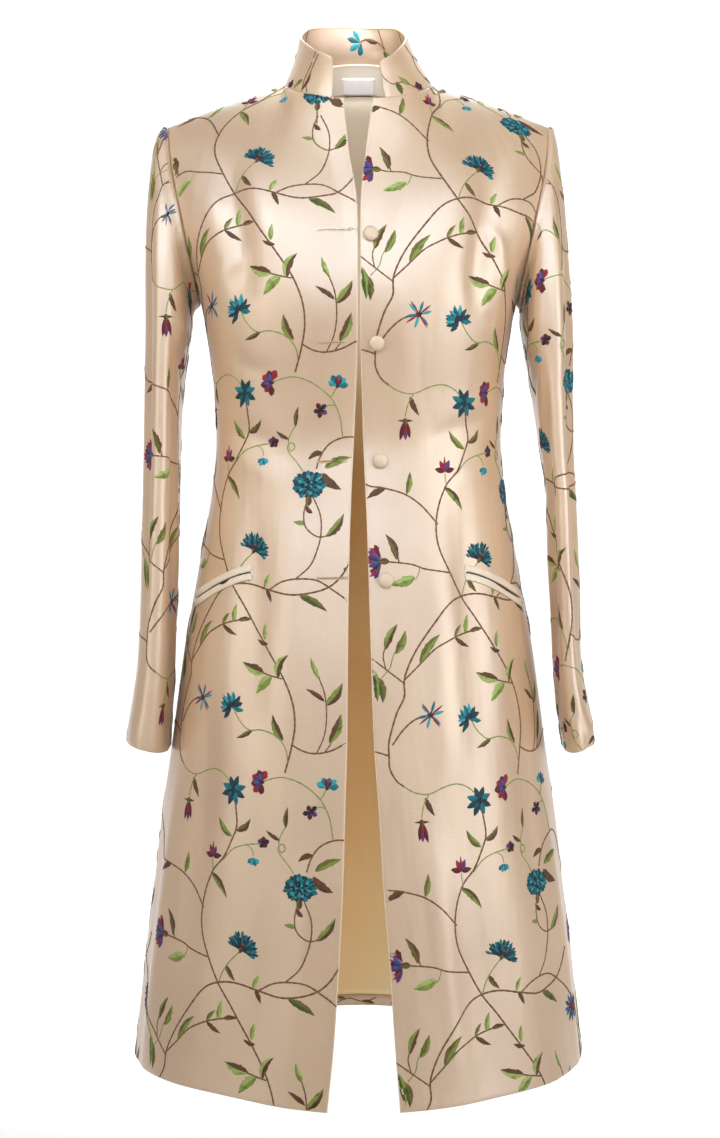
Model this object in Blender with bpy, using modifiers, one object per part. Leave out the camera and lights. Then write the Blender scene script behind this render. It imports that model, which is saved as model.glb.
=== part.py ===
"""A long nehru jacket in silk satin, filled out as if worn, with its front unbuttoned.

Tables and sizes are in millimetres and the meshes in metres. +Z is up, -Y is the front and +X is the
wearer's left. The origin lies inside the base of the neck, where neck and shoulders hold the jacket.
Each piece of cloth is a grid of points on its outer face, with rows from hem to top and columns from
the middle to the side, and a wall that lies under those points.
"""
import math
from collections import namedtuple

import bpy
import numpy as np

MM = 0.001

# Points closer than this are one point of a seam
SAME_POINT = 0.05

# Gaps: each piece gives up a share of the seam gap, a little over half where seams turn a corner
SEAM_GAP = 0.3
SEAM_SHARE = 0.62
LAY_GAP = 0.3

# How steeply a neighbour rises over a piece's face before their walls stop sharing a normal
VALLEY_START = 0.15
VALLEY_END = 0.45
FOLDED_BACK = -0.3

# Wall thicknesses
CLOTH = 2.0
SLEEVE_CLOTH = 2.0
COLLAR_CLOTH = 2.4
LINING_CLOTH = 1.0
WELT_CLOTH = 1.2
LABEL_CLOTH = 0.8

# Landmarks of the cut
UNDERARM_Z = -212.0
NECK_POINT = (73.0, 8.0, 0.0)
SHOULDER_TIP = (187.0, 2.0, -41.5)
SHOULDER_CROWN = 1.5
FRONT_NECK = (62.0, -21.0)
BACK_NECK = (52.0, 27.0)
NECK_DROP_POWER = 1.3
COLLAR_SETBACK = 26.0

# Grid of each half: columns from middle to side, and the rows above the underarm as shares of height
FRONT_COLUMNS = 11
NECK_COLUMNS = 5
UPPER_ROWS = (0.0, 0.13, 0.27, 0.41, 0.54, 0.66, 0.77, 0.87, 0.95, 1.0)
SHOULDER_ROUNDING = 0.3

# Power of the body's section curve at the waist, how it changes in skirt and chest, and over what height
WAIST_POWER = 2.1
SKIRT_EASE = 0.12
SKIRT_TOP_Z = -560.0
SKIRT_FADE = 300.0
CHEST_SQUARING = 0.4
CHEST_LOW_Z = -420.0
CHEST_FADE = 200.0
CURVE_STEPS = 160

# Hem of the fronts, and the rows of the back where the turned-up hem and the facing end
HEM_DIP = 9.0
HEM_DIP_POWER = {"right": 7.0, "left": 2.5}
HEM_FADE_Z = -640.0
HEM_TURN_ROWS = 1
FACING_ROW = -3

SIDES = {"right": -1.0, "left": 1.0}

Section = namedtuple("Section", "z half_width front_depth back_depth")
BODY = (
    Section(-969, 226.6, 187, 180),
    Section(-955, 225.2, 185, 178),
    Section(-905, 219.3, 181, 173),
    Section(-850, 213.0, 176, 168),
    Section(-790, 205.2, 170, 161),
    Section(-725, 197.6, 162, 154),
    Section(-660, 188.0, 155, 147),
    Section(-600, 180.0, 148, 140),
    Section(-545, 172.0, 141, 133),
    Section(-495, 162.5, 133, 124),
    Section(-450, 154.5, 125, 113),
    Section(-400, 145.8, 114, 98),
    Section(-350, 141.3, 107, 86),
    Section(-305, 143.2, 113, 84),
    Section(-260, 146.4, 125, 90),
    Section(UNDERARM_Z, 157.0, 134, 99),
)

Chest = namedtuple("Chest", "z half_width armhole_x front_depth back_depth")
CHEST = (
    Chest(-212, 157, 157.0, 134, 99),
    Chest(-184, 165, 162.0, 132, 104),
    Chest(-156, 177, 167.5, 129, 106),
    Chest(-127, 188, 173.0, 125, 105),
    Chest(-99, 195, 179.5, 119, 102),
    Chest(-71, 198, 184.5, 112, 98),
    Chest(-43, 201, 187.0, 106, 94),
    Chest(0, 203, 187.0, 101, 85),
    Chest(30, 204, 187.0, 98, 78),
)

FrontEdge = namedtuple("FrontEdge", "z right left")
FRONT_EDGE = (
    FrontEdge(-977, 30.0, 40.0),
    FrontEdge(-905, 22.5, 34.0),
    FrontEdge(-838, 18.2, 29.5),
    FrontEdge(-768, 14.5, 23.7),
    FrontEdge(-699, 12.5, 19.5),
    FrontEdge(-629, 10.5, 14.4),
    FrontEdge(-520, 9.6, 10.9),
    FrontEdge(-424, 7.6, 7.8),
    FrontEdge(-354, 4.6, 4.7),
    FrontEdge(-290, 1.8, 2.8),
    FrontEdge(-240, 0.4, 1.6),
    FrontEdge(-134, 0.4, 1.6),
    FrontEdge(-105, 3.4, 3.2),
    FrontEdge(-80, 8.0, 6.2),
    FrontEdge(-50, 11.6, 9.6),
    FrontEdge(-20, 15.0, 14.2),
)

FOLD_SIDE_POWER = 6
Fold = namedtuple("Fold", "share width depth top")
FRONT_FOLDS = (
    Fold(0.36, 0.17, -3.2, -560),
    Fold(0.62, 0.15, 3.4, -600),
    Fold(0.86, 0.12, -2.6, -640),
)
BACK_FOLDS = (
    Fold(0.0, 0.12, 3.0, -480),
    Fold(0.30, 0.14, -4.5, -520),
    Fold(0.55, 0.14, 4.2, -560),
    Fold(0.80, 0.12, -3.4, -600),
)

SleeveSection = namedtuple(
    "SleeveSection", "z outer_lift right_inner right_outer left_inner left_outer front back")
SLEEVE = (
    SleeveSection(-656, 10, 187.6, 229.8, 203.4, 232.4, -78, 30),
    SleeveSection(-639, 8, 186.6, 228.2, 201.0, 231.8, -79, 31),
    SleeveSection(-608, 4, 184.6, 223.6, 196.4, 226.0, -79, 32),
    SleeveSection(-569, 1, 182.6, 218.6, 193.6, 219.8, -78, 34),
    SleeveSection(-520, 0, 181.0, 215.8, 191.4, 217.0, -76, 37),
    SleeveSection(-465, 0, 178.8, 213.4, 188.2, 215.0, -74, 41),
    SleeveSection(-410, 0, 178.4, 211.2, 187.2, 212.1, -72, 45),
    SleeveSection(-355, 0, 177.0, 209.6, 179.8, 209.6, -70, 50),
    SleeveSection(-305, 0, 174.2, 208.8, 172.0, 209.0, -70, 56),
    SleeveSection(-265, 0, 169.5, 208.0, 165.6, 209.2, -71, 62),
    SleeveSection(-236, 0, 164.6, 207.6, 160.8, 209.0, -72, 66),
)
SLEEVE_POWER = 2.4

# The cap leaves the sleeve along its rise and enters the armhole away from the body
Cap = namedtuple("Cap", "side rise lean reach")
CAPS = (Cap("right", 0.70, 0.0, 22.0), Cap("left", 0.60, 9.0, 15.0))
CAP_ROWS = (0.0, 0.22, 0.44, 0.66, 0.85, 1.0)
CAP_SIDEWAYS = 0.6
CAP_SIDEWAYS_SWING = 0.4
CAP_FORWARD = 0.6
CAP_DROP = 0.45
CAP_DROP_SWING = 0.55
CAP_REACH_SHARE = 0.45

CollarTop = namedtuple("CollarTop", "share x y z")
COLLAR_TOP = (
    CollarTop(0.00, -25.4, -59.0, 16.0),
    CollarTop(0.02, -27.0, -58.4, 18.5),
    CollarTop(0.12, -46.0, -40.0, 30.0),
    CollarTop(0.25, -58.0, 2.0, 47.0),
    CollarTop(0.37, -46.5, 33.0, 59.5),
    CollarTop(0.50, -5.0, 50.0, 62.5),
    CollarTop(0.63, 37.0, 33.0, 59.5),
    CollarTop(0.75, 47.8, 2.0, 46.5),
    CollarTop(0.88, 38.5, -40.0, 28.0),
    CollarTop(0.98, 22.0, -58.4, 14.0),
    CollarTop(1.00, 20.4, -59.0, 11.5),
)
COLLAR_ROWS = (0.0, 0.3, 0.65, 1.0)
COLLAR_BULGE = 2.2

WELT_LENGTH_X = (102.0, 160.0)
WELT_Z = (-474.5, -505.5)
WELT_ARCH = 2.5
WELT_DROP_POWER = 1.25
WELT_HEIGHT = 6.6
WELT_SLIT = 1.4
WELT_STEPS = 9
WELT_LIFT = 0.7

BUTTON_STEPS = 14
BUTTON_LIFT = 0.35
Button = namedtuple("Button", "x z")
BUTTONS = (Button(11.3, -154.0), Button(17.5, -256.4), Button(20.9, -367.6), Button(26.0, -480.1))
ButtonRing = namedtuple("ButtonRing", "radius height")
BUTTON_PROFILE = (
    ButtonRing(0.0, 5.6),
    ButtonRing(3.4, 5.2),
    ButtonRing(5.8, 4.2),
    ButtonRing(7.0, 2.9),
    ButtonRing(7.25, 2.1),
    ButtonRing(6.4, 1.3),
    ButtonRing(3.0, 0.9),
    ButtonRing(2.8, 0.0),
    ButtonRing(0.0, 0.0),
)

LABEL_WIDTH = 33.0
LABEL_COLUMNS = 5
LABEL_ROWS = (0.05, 0.93)

Finish = namedtuple("Finish", "colour roughness")
SATIN = Finish((0.78, 0.66, 0.52), 0.4)
PLAIN_SATIN = Finish((0.86, 0.80, 0.70), 0.45)
LINING = Finish((0.68, 0.47, 0.24), 0.45)
FACING = Finish((0.80, 0.72, 0.60), 0.6)
LABEL = Finish((0.86, 0.82, 0.80), 0.7)
SHARP_ANGLE = 50.0


def column(table, name):
    """One column of a table as an array, in rising order of the table's first column."""
    rows = sorted(table, key=lambda row: row[0])
    return np.array([getattr(row, name) for row in rows], dtype=float)


def smooth(table, name, where):
    """A value read from a table's column on a monotone cubic through its rows."""
    key = table[0]._fields[0]
    knots = column(table, key)
    values = column(table, name)
    steps = np.diff(knots)
    slopes = np.diff(values) / steps
    bend = np.zeros(len(knots))
    same_way = slopes[:-1] * slopes[1:] > 0
    before = np.where(same_way, slopes[:-1], 1.0)
    after = np.where(same_way, slopes[1:], 1.0)
    bend[1:-1] = np.where(same_way, 2.0 / (1.0 / before + 1.0 / after), 0.0)
    bend[0] = slopes[0]
    bend[-1] = slopes[-1]
    where = float(np.clip(where, knots[0], knots[-1]))
    i = int(np.clip(np.searchsorted(knots, where) - 1, 0, len(steps) - 1))
    t = (where - knots[i]) / steps[i]
    return (values[i] * (1 + 2 * t) * (1 - t) ** 2 + values[i + 1] * t * t * (3 - 2 * t)
            + steps[i] * (bend[i] * t * (1 - t) ** 2 - bend[i + 1] * t * t * (1 - t)))


def roundness(z):
    """The power of the section's curve: an ellipse in the skirt, squarer over the chest."""
    skirt = float(np.clip((SKIRT_TOP_Z - z) / SKIRT_FADE, 0.0, 1.0))
    chest = float(np.clip((z - CHEST_LOW_Z) / CHEST_FADE, 0.0, 1.0))
    return WAIST_POWER - SKIRT_EASE * skirt + CHEST_SQUARING * chest


def depth_share(x, half_width, power):
    """The part of the full depth that a section keeps at x, from 1 at its middle to 0 at its side."""
    return max(0.0, 1.0 - min(1.0, abs(x) / half_width) ** power) ** (1.0 / power)


def even_x(start, half_width, depth, power, count):
    """The x places that part a section's curve, from start to its side, into equal lengths."""
    first = math.asin((start / half_width) ** (power / 2.0))
    turn = np.linspace(first, math.pi / 2.0, CURVE_STEPS)
    x = half_width * np.sin(turn) ** (2.0 / power)
    y = depth * np.abs(np.cos(turn)) ** (2.0 / power)
    length = np.concatenate([[0.0], np.cumsum(np.hypot(np.diff(x), np.diff(y)))])
    places = np.interp(np.linspace(0.0, length[-1], count + 1), length, x)
    places[-1] = half_width
    return places


def fold_depth(folds, share, z):
    """How far the skirt's folds move the cloth out, at a share of the way from middle to side."""
    total = 0.0
    for fold in folds:
        low = BODY[0].z
        grow = float(np.clip((fold.top - z) / (fold.top - low), 0.0, 1.0))
        grow = grow * grow * (3.0 - 2.0 * grow)
        total += fold.depth * grow * math.exp(-((share - fold.share) / fold.width) ** 2)
    return total


def cap_share(height_share, edge):
    """How much of the body's depth has been reached below the top edge: rounder over the shoulder."""
    return (1.0 - height_share ** 2) ** edge


def lower_rows(face, side):
    """The rows from hem to underarm of one half of the front or back, as points on the outer face."""
    rows = []
    depth_name = "front_depth" if face == "front" else "back_depth"
    sign = -1.0 if face == "front" else 1.0
    folds = FRONT_FOLDS if face == "front" else BACK_FOLDS
    for section in BODY:
        z = section.z
        power = roundness(z)
        depth = getattr(section, depth_name)
        start = smooth(FRONT_EDGE, side, z) if face == "front" else 0.0
        places = even_x(start, section.half_width, depth, power, FRONT_COLUMNS)
        row = []
        for number, x in enumerate(places):
            share = number / FRONT_COLUMNS
            keep = depth_share(x, section.half_width, power)
            out = fold_depth(folds, share, z) * (1.0 - share ** FOLD_SIDE_POWER)
            dip = HEM_DIP * keep ** HEM_DIP_POWER[side] if face == "front" else 0.0
            dip *= float(np.clip((HEM_FADE_Z - z) / (HEM_FADE_Z - BODY[0].z), 0.0, 1.0))
            y = sign * (depth * keep + out * keep)
            row.append((SIDES[side] * (x + out * (x / section.half_width) ** 2), y, z - dip))
        rows.append(row)
    return rows


def top_edge(face, side):
    """The top edge of one half: round the neck to the neck point, then along the shoulder."""
    points = []
    neck_depth, neck_z = FRONT_NECK if face == "front" else BACK_NECK
    sign = -1.0 if face == "front" else 1.0
    reach = neck_depth + NECK_POINT[1] if face == "front" else neck_depth - NECK_POINT[1]
    if face == "front":
        start = smooth(FRONT_EDGE, side, neck_z)
        turns = [math.asin(start / NECK_POINT[0])]
        first = math.asin(COLLAR_SETBACK / NECK_POINT[0])
        turns += list(np.linspace(first, math.pi / 2.0, NECK_COLUMNS))
    else:
        turns = list(np.linspace(0.0, math.pi / 2.0, NECK_COLUMNS + 1))
    for turn in turns:
        x = NECK_POINT[0] * math.sin(turn)
        y = NECK_POINT[1] + sign * reach * math.cos(turn)
        lift = math.cos(turn) ** NECK_DROP_POWER
        z = NECK_POINT[2] + (neck_z - NECK_POINT[2]) * lift
        points.append((SIDES[side] * x, y, z))
    shoulder = np.linspace(NECK_POINT, SHOULDER_TIP, FRONT_COLUMNS - NECK_COLUMNS + 1)[1:]
    for number, (x, y, z) in enumerate(shoulder, 1):
        crown = SHOULDER_CROWN * math.sin(math.pi * number / len(shoulder))
        points.append((SIDES[side] * x, y, z + crown))
    return points


def upper_rows(face, side, bust_row):
    """The rows from underarm to neck and shoulder of one half, above the bust row."""
    sign = -1.0 if face == "front" else 1.0
    depth_name = "front_depth" if face == "front" else "back_depth"
    top = top_edge(face, side)
    last = FRONT_COLUMNS
    rows = []
    for height in UPPER_ROWS[1:]:
        row = []
        arm_z = UNDERARM_Z + (top[last][2] - UNDERARM_Z) * height
        arm_plain = abs(bust_row[last][0]) + (abs(top[last][0]) - abs(bust_row[last][0])) * height
        arm_shift = smooth(CHEST, "armhole_x", arm_z) - arm_plain
        for number in range(last + 1):
            share = number / last
            z = UNDERARM_Z + (top[number][2] - UNDERARM_Z) * height
            ease = height * height * (3.0 - 2.0 * height)
            x = abs(bust_row[number][0]) + (abs(top[number][0]) - abs(bust_row[number][0])) * ease
            if number == last:
                x = arm_plain
            x += arm_shift * share ** 3
            if face == "front" and number == 0:
                x = smooth(FRONT_EDGE, side, z)
            past_neck = min(1.0, number / NECK_COLUMNS) ** 2
            reached = cap_share(height, 1.0 - SHOULDER_ROUNDING * past_neck)
            full = smooth(CHEST, depth_name, z)
            keep = depth_share(x, smooth(CHEST, "half_width", z), roundness(z))
            y = top[number][1] * (1.0 - reached) + sign * full * keep * reached
            row.append((SIDES[side] * x, y, z))
        rows.append(row)
    rows[-1] = [tuple(point) for point in top]
    return rows


def half_grid(face, side):
    """Rows and columns of one half, hem to shoulder and middle to side."""
    lower = lower_rows(face, side)
    return np.array(lower + upper_rows(face, side, lower[-1]))


def sleeve_loop(section, side, count):
    """A flattened loop of points round the sleeve, from its inner side by the front to the outer."""
    inner = getattr(section, side + "_inner")
    outer = getattr(section, side + "_outer")
    middle = (inner + outer) / 2.0
    half_x = (outer - inner) / 2.0
    middle_y = (section.front + section.back) / 2.0
    half_y = (section.back - section.front) / 2.0
    turn = np.linspace(0.0, 2.0 * math.pi, 3 * CURVE_STEPS + 1)
    x = middle - half_x * np.sign(np.cos(turn)) * np.abs(np.cos(turn)) ** (2.0 / SLEEVE_POWER)
    y = middle_y - half_y * np.sign(np.sin(turn)) * np.abs(np.sin(turn)) ** (2.0 / SLEEVE_POWER)
    length = np.concatenate([[0.0], np.cumsum(np.hypot(np.diff(x), np.diff(y)))])
    spots = np.linspace(0.0, length[-1], count + 1)[:-1]
    loop_x = np.interp(spots, length, x)
    loop_z = section.z + section.outer_lift * (loop_x - inner) / (outer - inner)
    return np.column_stack([SIDES[side] * loop_x, np.interp(spots, length, y), loop_z])


def armhole(front, back):
    """The armhole's points from the underarm up the front, over the shoulder and down the back."""
    start = len(BODY) - 1
    return np.concatenate([front[start:, -1], back[start:-1, -1][::-1]])[:-1]


def sleeve_grid(front, back, side):
    """Rows of the sleeve from the cuff up to the armhole, as closed loops of points."""
    hole = armhole(front, back)
    count = len(hole)
    cap = next(row for row in CAPS if row.side == side)
    rows = [sleeve_loop(section, side, count) for section in SLEEVE]
    loop = rows[-1]
    for share in CAP_ROWS[1:]:
        row = []
        for number in range(count):
            turn = 2.0 * math.pi * number / count
            away = np.array([SIDES[side] * (CAP_SIDEWAYS - CAP_SIDEWAYS_SWING * math.cos(turn)),
                             -CAP_FORWARD * math.sin(turn),
                             -CAP_DROP - CAP_DROP_SWING * math.cos(turn)])
            away /= np.linalg.norm(away)
            start = loop[number]
            end = hole[number]
            rise = max(0.0, end[2] - start[2])
            outer = max(0.0, -math.cos(turn))
            near = start + np.array([-SIDES[side] * cap.lean * outer, 0.0, cap.rise * rise])
            reach = min(cap.reach, CAP_REACH_SHARE * float(np.linalg.norm(end - start)))
            far = end + away * reach
            a, b = 1.0 - share, share
            row.append(a ** 3 * start + 3 * a * a * b * near + 3 * a * b * b * far + b ** 3 * end)
        rows.append(np.array(row))
    rows[-1] = hole
    return np.array(rows)


def collar_grid(right_front, right_back, left_front, left_back):
    """Rows of the stand collar from the neck seam up, from its right front end round to its left."""
    base = np.concatenate([
        right_front[-1, 1:NECK_COLUMNS + 1],
        right_back[-1, :NECK_COLUMNS][::-1],
        left_back[-1, 1:NECK_COLUMNS + 1],
        left_front[-1, 1:NECK_COLUMNS][::-1],
    ])
    run = np.concatenate([[0.0], np.cumsum(np.linalg.norm(np.diff(base, axis=0), axis=1))])
    top = np.array([[smooth(COLLAR_TOP, axis, share) for axis in "xyz"] for share in run / run[-1]])
    rows = []
    for height in COLLAR_ROWS:
        row = base * (1.0 - height) + top * height
        out = row[:, :2] / np.linalg.norm(row[:, :2], axis=1)[:, None]
        row[:, :2] -= out * COLLAR_BULGE * 4.0 * height * (1.0 - height)
        rows.append(row)
    return np.array(rows)


def grid_normals(points, closed):
    """Outward unit normals at a grid's points, from its neighbours along rows and columns."""
    if closed:
        along = np.roll(points, -1, axis=1) - np.roll(points, 1, axis=1)
    else:
        along = np.gradient(points, axis=1)
    up = np.gradient(points, axis=0)
    normal = np.cross(along, up)
    return normal / np.linalg.norm(normal, axis=2)[:, :, None]


class Piece:
    """A grid of points on a cloth piece's outer face, with the normals that its wall follows."""

    def __init__(self, name, points, closed=False, flip=False):
        self.name = name
        self.points = np.array(points, dtype=float)
        self.closed = closed
        self.flip = flip
        self.normals = grid_normals(self.points, closed) * (-1.0 if flip else 1.0)

    def edge_keys(self):
        """The grid places on the piece's outside edges."""
        rows, columns = self.points.shape[:2]
        keys = [(0, j) for j in range(columns)] + [(rows - 1, j) for j in range(columns)]
        if not self.closed:
            keys += [(i, 0) for i in range(1, rows - 1)] + [(i, columns - 1) for i in range(1, rows - 1)]
        return keys

    def part(self, name, rows, columns):
        """A smaller piece on the same points and normals."""
        piece = Piece(name, self.points[rows, columns], flip=self.flip)
        piece.normals = self.normals[rows, columns].copy()
        return piece

    def moved_in(self, distance):
        """The same piece under its own wall, at a distance along the normals."""
        self.points = self.points - self.normals * distance
        return self

    def sample(self, row, place):
        """A point and normal between the grid's points."""
        i = int(np.clip(math.floor(row), 0, self.points.shape[0] - 2))
        j = int(np.clip(math.floor(place), 0, self.points.shape[1] - 2))
        s, t = row - i, place - j
        result = []
        for grid in (self.points, self.normals):
            result.append(grid[i, j] * (1 - s) * (1 - t) + grid[i, j + 1] * (1 - s) * t
                          + grid[i + 1, j] * s * (1 - t) + grid[i + 1, j + 1] * s * t)
        return result[0], result[1] / np.linalg.norm(result[1])

    def row_at(self, place, z):
        """The row place where a column's curve passes a height."""
        rows = np.arange(self.points.shape[0], dtype=float)
        heights = [self.sample(row, place)[0][2] for row in rows]
        return float(np.interp(z, heights, rows))

    def find(self, x, z):
        """The row and column place where the piece passes x and z, seen from the front."""
        rows, columns = self.points.shape[:2]
        best = min(((i, j) for i in range(rows) for j in range(columns)),
                   key=lambda at: (self.points[at][0] - x) ** 2 + (self.points[at][2] - z) ** 2)
        row, place = float(best[0]), float(best[1])
        reach = 1.0
        while reach > 0.002:
            tries = [(row + a * reach, place + b * reach) for a in (-1, 0, 1) for b in (-1, 0, 1)]
            tries = [(min(max(r, 0.0), rows - 1.0), min(max(c, 0.0), columns - 1.0)) for r, c in tries]
            row, place = min(tries, key=lambda at: math.hypot(self.sample(*at)[0][0] - x,
                                                              self.sample(*at)[0][2] - z))
            reach *= 0.7
        return row, place


def join_seams(pieces):
    """Give the points that pieces share one normal, then part the pieces by the seam gap.

    Where two pieces meet in a valley their walls lie apart already, so each keeps its own normal.
    """
    shared = {}
    for piece in pieces:
        for at in piece.edge_keys():
            key = tuple(int(v) for v in np.round(piece.points[at] / SAME_POINT))
            shared.setdefault(key, []).append((piece, at))
    inset = {id(piece): np.zeros_like(piece.points) for piece in pieces}
    for users in shared.values():
        if len({id(piece) for piece, at in users}) < 2:
            continue
        own = [piece.normals[at].copy() for piece, at in users]
        steps = [inward(piece, at) for piece, at in users]
        for (piece, at), normal, step in zip(users, own, steps):
            others = [other for other in own if other is not normal]
            mixed = normal + sum(other * ridge_share(normal, other, step) for other in others)
            piece.normals[at] = mixed / np.linalg.norm(mixed)
            inset[id(piece)][at] = step * SEAM_GAP * SEAM_SHARE
    for piece in pieces:
        piece.points = piece.points + inset[id(piece)]


def ridge_share(normal, other, step):
    """How far two walls share a normal: all along a flat seam or a ridge, not at all in a valley."""
    if normal @ other < FOLDED_BACK:
        return 0.0
    return float(np.clip((VALLEY_END - step @ other) / (VALLEY_END - VALLEY_START), 0.0, 1.0))


def inward(piece, at):
    """Unit direction from an edge point into its piece."""
    rows, columns = piece.points.shape[:2]
    i, j = at
    total = np.zeros(3)
    if i in (0, rows - 1):
        step = piece.points[1 if i == 0 else rows - 2, j] - piece.points[at]
        total += step / np.linalg.norm(step)
    if not piece.closed and j in (0, columns - 1):
        step = piece.points[i, 1 if j == 0 else columns - 2] - piece.points[at]
        total += step / np.linalg.norm(step)
    return total


def material(name, finish):
    """A Principled material for one piece."""
    made = bpy.data.materials.new(name)
    made.use_nodes = True
    shader = made.node_tree.nodes["Principled BSDF"]
    shader.inputs["Base Color"].default_value = (*finish.colour, 1.0)
    shader.inputs["Roughness"].default_value = finish.roughness
    shader.inputs["Metallic"].default_value = 0.0
    return made


def add_mesh(name, vertices, faces, finish, collection):
    """A named object from vertices in millimetres."""
    mesh = bpy.data.meshes.new(name)
    mesh.from_pydata([tuple(float(c) * MM for c in v) for v in vertices], [], faces)
    mesh.validate()
    mesh.materials.append(material(name, finish))
    mesh.shade_smooth()
    mesh.set_sharp_from_angle(angle=math.radians(SHARP_ANGLE))
    made = bpy.data.objects.new(name, mesh)
    collection.objects.link(made)
    return made


def add_wall(piece, thickness, finish, collection):
    """A closed wall from a piece's points down to its thickness under them."""
    rows, columns = piece.points.shape[:2]
    outer = piece.points.reshape(-1, 3)
    inner = (piece.points - piece.normals * thickness).reshape(-1, 3)
    count = rows * columns
    faces = []
    spans = columns if piece.closed else columns - 1
    for i in range(rows - 1):
        for j in range(spans):
            a = i * columns + j
            b = i * columns + (j + 1) % columns
            c = b + columns
            d = a + columns
            faces.append((a, b, c, d))
            faces.append((a + count, d + count, c + count, b + count))
    ring = [(j, (j + 1) % columns) for j in range(spans)]
    top = (rows - 1) * columns
    for a, b in ring:
        faces.append((a + count, b + count, b, a))
        faces.append((top + a, top + b, top + b + count, top + a + count))
    if not piece.closed:
        for i in range(rows - 1):
            a, b = i * columns, (i + 1) * columns
            faces.append((a, b, b + count, a + count))
            a, b = a + columns - 1, b + columns - 1
            faces.append((a + count, b + count, b, a))
    if piece.flip:
        faces = [face[::-1] for face in faces]
    return add_mesh(piece.name, np.concatenate([outer, inner]), faces, finish, collection)


def laid_on(name, panel, spots, lift):
    """A piece at rows of a panel's grid places, moved out by lift, or in where lift is negative."""
    samples = [[panel.sample(row, place) for row, place in line] for line in spots]
    points = [[point + normal * lift for point, normal in line] for line in samples]
    made = Piece(name, points, flip=panel.flip)
    made.normals = np.array([[normal for point, normal in line] for line in samples])
    return made


def add_pocket(panel, side, collection):
    """Two welts, one over the other, that lie on the front with the pocket's slit between them."""
    places = np.linspace(0.0, 1.0, WELT_STEPS + 1)
    lift = WELT_LIFT + WELT_CLOTH
    ends = [panel.find(SIDES[side] * x, z)[1] for x, z in zip(WELT_LENGTH_X, WELT_Z)]
    for name, start in (("upper", 0.0), ("lower", WELT_HEIGHT + WELT_SLIT)):
        line = []
        for share in places:
            z = WELT_Z[0] + (WELT_Z[1] - WELT_Z[0]) * share ** WELT_DROP_POWER
            z += WELT_ARCH * math.sin(math.pi * share) - start + WELT_HEIGHT
            line.append((ends[0] + (ends[1] - ends[0]) * share, z))
        spots = [[(panel.row_at(place, z - drop), place) for place, z in line]
                 for drop in (WELT_HEIGHT, 0.0)]
        welt = laid_on(f"pocket_{side}_{name}", panel, spots, lift)
        add_wall(welt, WELT_CLOTH, PLAIN_SATIN, collection)


def add_button(name, panel, place, collection):
    """A covered button: a dome on a short shank, turned about its own axis, standing on the front."""
    profile = bpy.data.meshes.new(name + "_profile")
    ends = [(ring.radius * MM, 0.0, ring.height * MM) for ring in BUTTON_PROFILE]
    profile.from_pydata(ends, [(i, i + 1) for i in range(len(ends) - 1)], [])
    made = bpy.data.objects.new(name, profile)
    collection.objects.link(made)
    turn = made.modifiers.new("turn", "SCREW")
    turn.axis = "Z"
    turn.steps = BUTTON_STEPS
    turn.render_steps = BUTTON_STEPS
    turn.use_merge_vertices = True
    turn.merge_threshold = 0.00005
    turn.use_smooth_shade = True
    profile.materials.append(material(name, SATIN))
    point, normal = panel.sample(*panel.find(place.x, place.z))
    at = (point + normal * BUTTON_LIFT) * MM
    made.location = [float(v) for v in at]
    axis = np.array(normal)
    made.rotation_euler = (math.acos(axis[2]), 0.0, math.atan2(axis[1], axis[0]) + math.pi / 2.0)
    return made


def add_label(facing, collection):
    """The blank label, laid on the inner face of the back neck facing."""
    columns = np.arange(facing.points.shape[1], dtype=float)
    x_places = np.linspace(LABEL_WIDTH / 2.0, -LABEL_WIDTH / 2.0, LABEL_COLUMNS)
    spots = []
    for row in LABEL_ROWS:
        across = [facing.sample(row, place)[0][0] for place in columns]
        spots.append([(row, np.interp(x, across[::-1], columns[::-1])) for x in x_places])
    label = laid_on("neck_label", facing, spots, -(LINING_CLOTH + LAY_GAP))
    add_wall(label, LABEL_CLOTH, LABEL, collection)


def main():
    for old in list(bpy.data.objects):
        bpy.data.objects.remove(old, do_unlink=True)
    collection = bpy.data.collections.new("nehru_jacket")
    bpy.context.scene.collection.children.link(collection)

    halves = {(face, side): half_grid(face, side) for face in ("front", "back") for side in SIDES}
    fronts = {
        "right": Piece("front_right", halves["front", "right"], flip=True),
        "left": Piece("front_left", halves["front", "left"]),
    }
    whole_back = np.concatenate([halves["back", "left"][:, ::-1], halves["back", "right"][:, 1:]], axis=1)
    back = Piece("back", whole_back)
    sleeves = {side: Piece("sleeve_" + side,
                           sleeve_grid(halves["front", side], halves["back", side], side),
                           closed=True, flip=side == "right") for side in SIDES}
    collar = Piece("collar", collar_grid(halves["front", "right"], halves["back", "right"],
                                         halves["front", "left"], halves["back", "left"]), flip=True)
    shell = [fronts["right"], fronts["left"], back, sleeves["right"], sleeves["left"], collar]
    join_seams(shell)

    for piece in (fronts["right"], fronts["left"], back):
        add_wall(piece, CLOTH, SATIN, collection)
    for piece in sleeves.values():
        add_wall(piece, SLEEVE_CLOTH, SATIN, collection)
    add_wall(collar, COLLAR_CLOTH, SATIN, collection)

    under = CLOTH + LAY_GAP
    middle = FRONT_COLUMNS
    everything = slice(None)
    neck = slice(middle - NECK_COLUMNS, middle + NECK_COLUMNS + 1)
    hem = back.part("back_hem", slice(0, HEM_TURN_ROWS + 1), everything).moved_in(under)
    lining = back.part("back_lining", slice(HEM_TURN_ROWS, FACING_ROW + 1), everything).moved_in(under)
    facing = back.part("neck_facing", slice(FACING_ROW, None), neck).moved_in(under)
    join_seams([hem, lining, facing])
    add_wall(hem, LINING_CLOTH, SATIN, collection)
    add_wall(lining, LINING_CLOTH, LINING, collection)
    add_wall(facing, LINING_CLOTH, FACING, collection)
    add_label(facing, collection)

    for side in SIDES:
        add_pocket(fronts[side], side, collection)
    for number, place in enumerate(BUTTONS, 1):
        add_button(f"button_{number}", fronts["left"], place, collection)


main()
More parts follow.
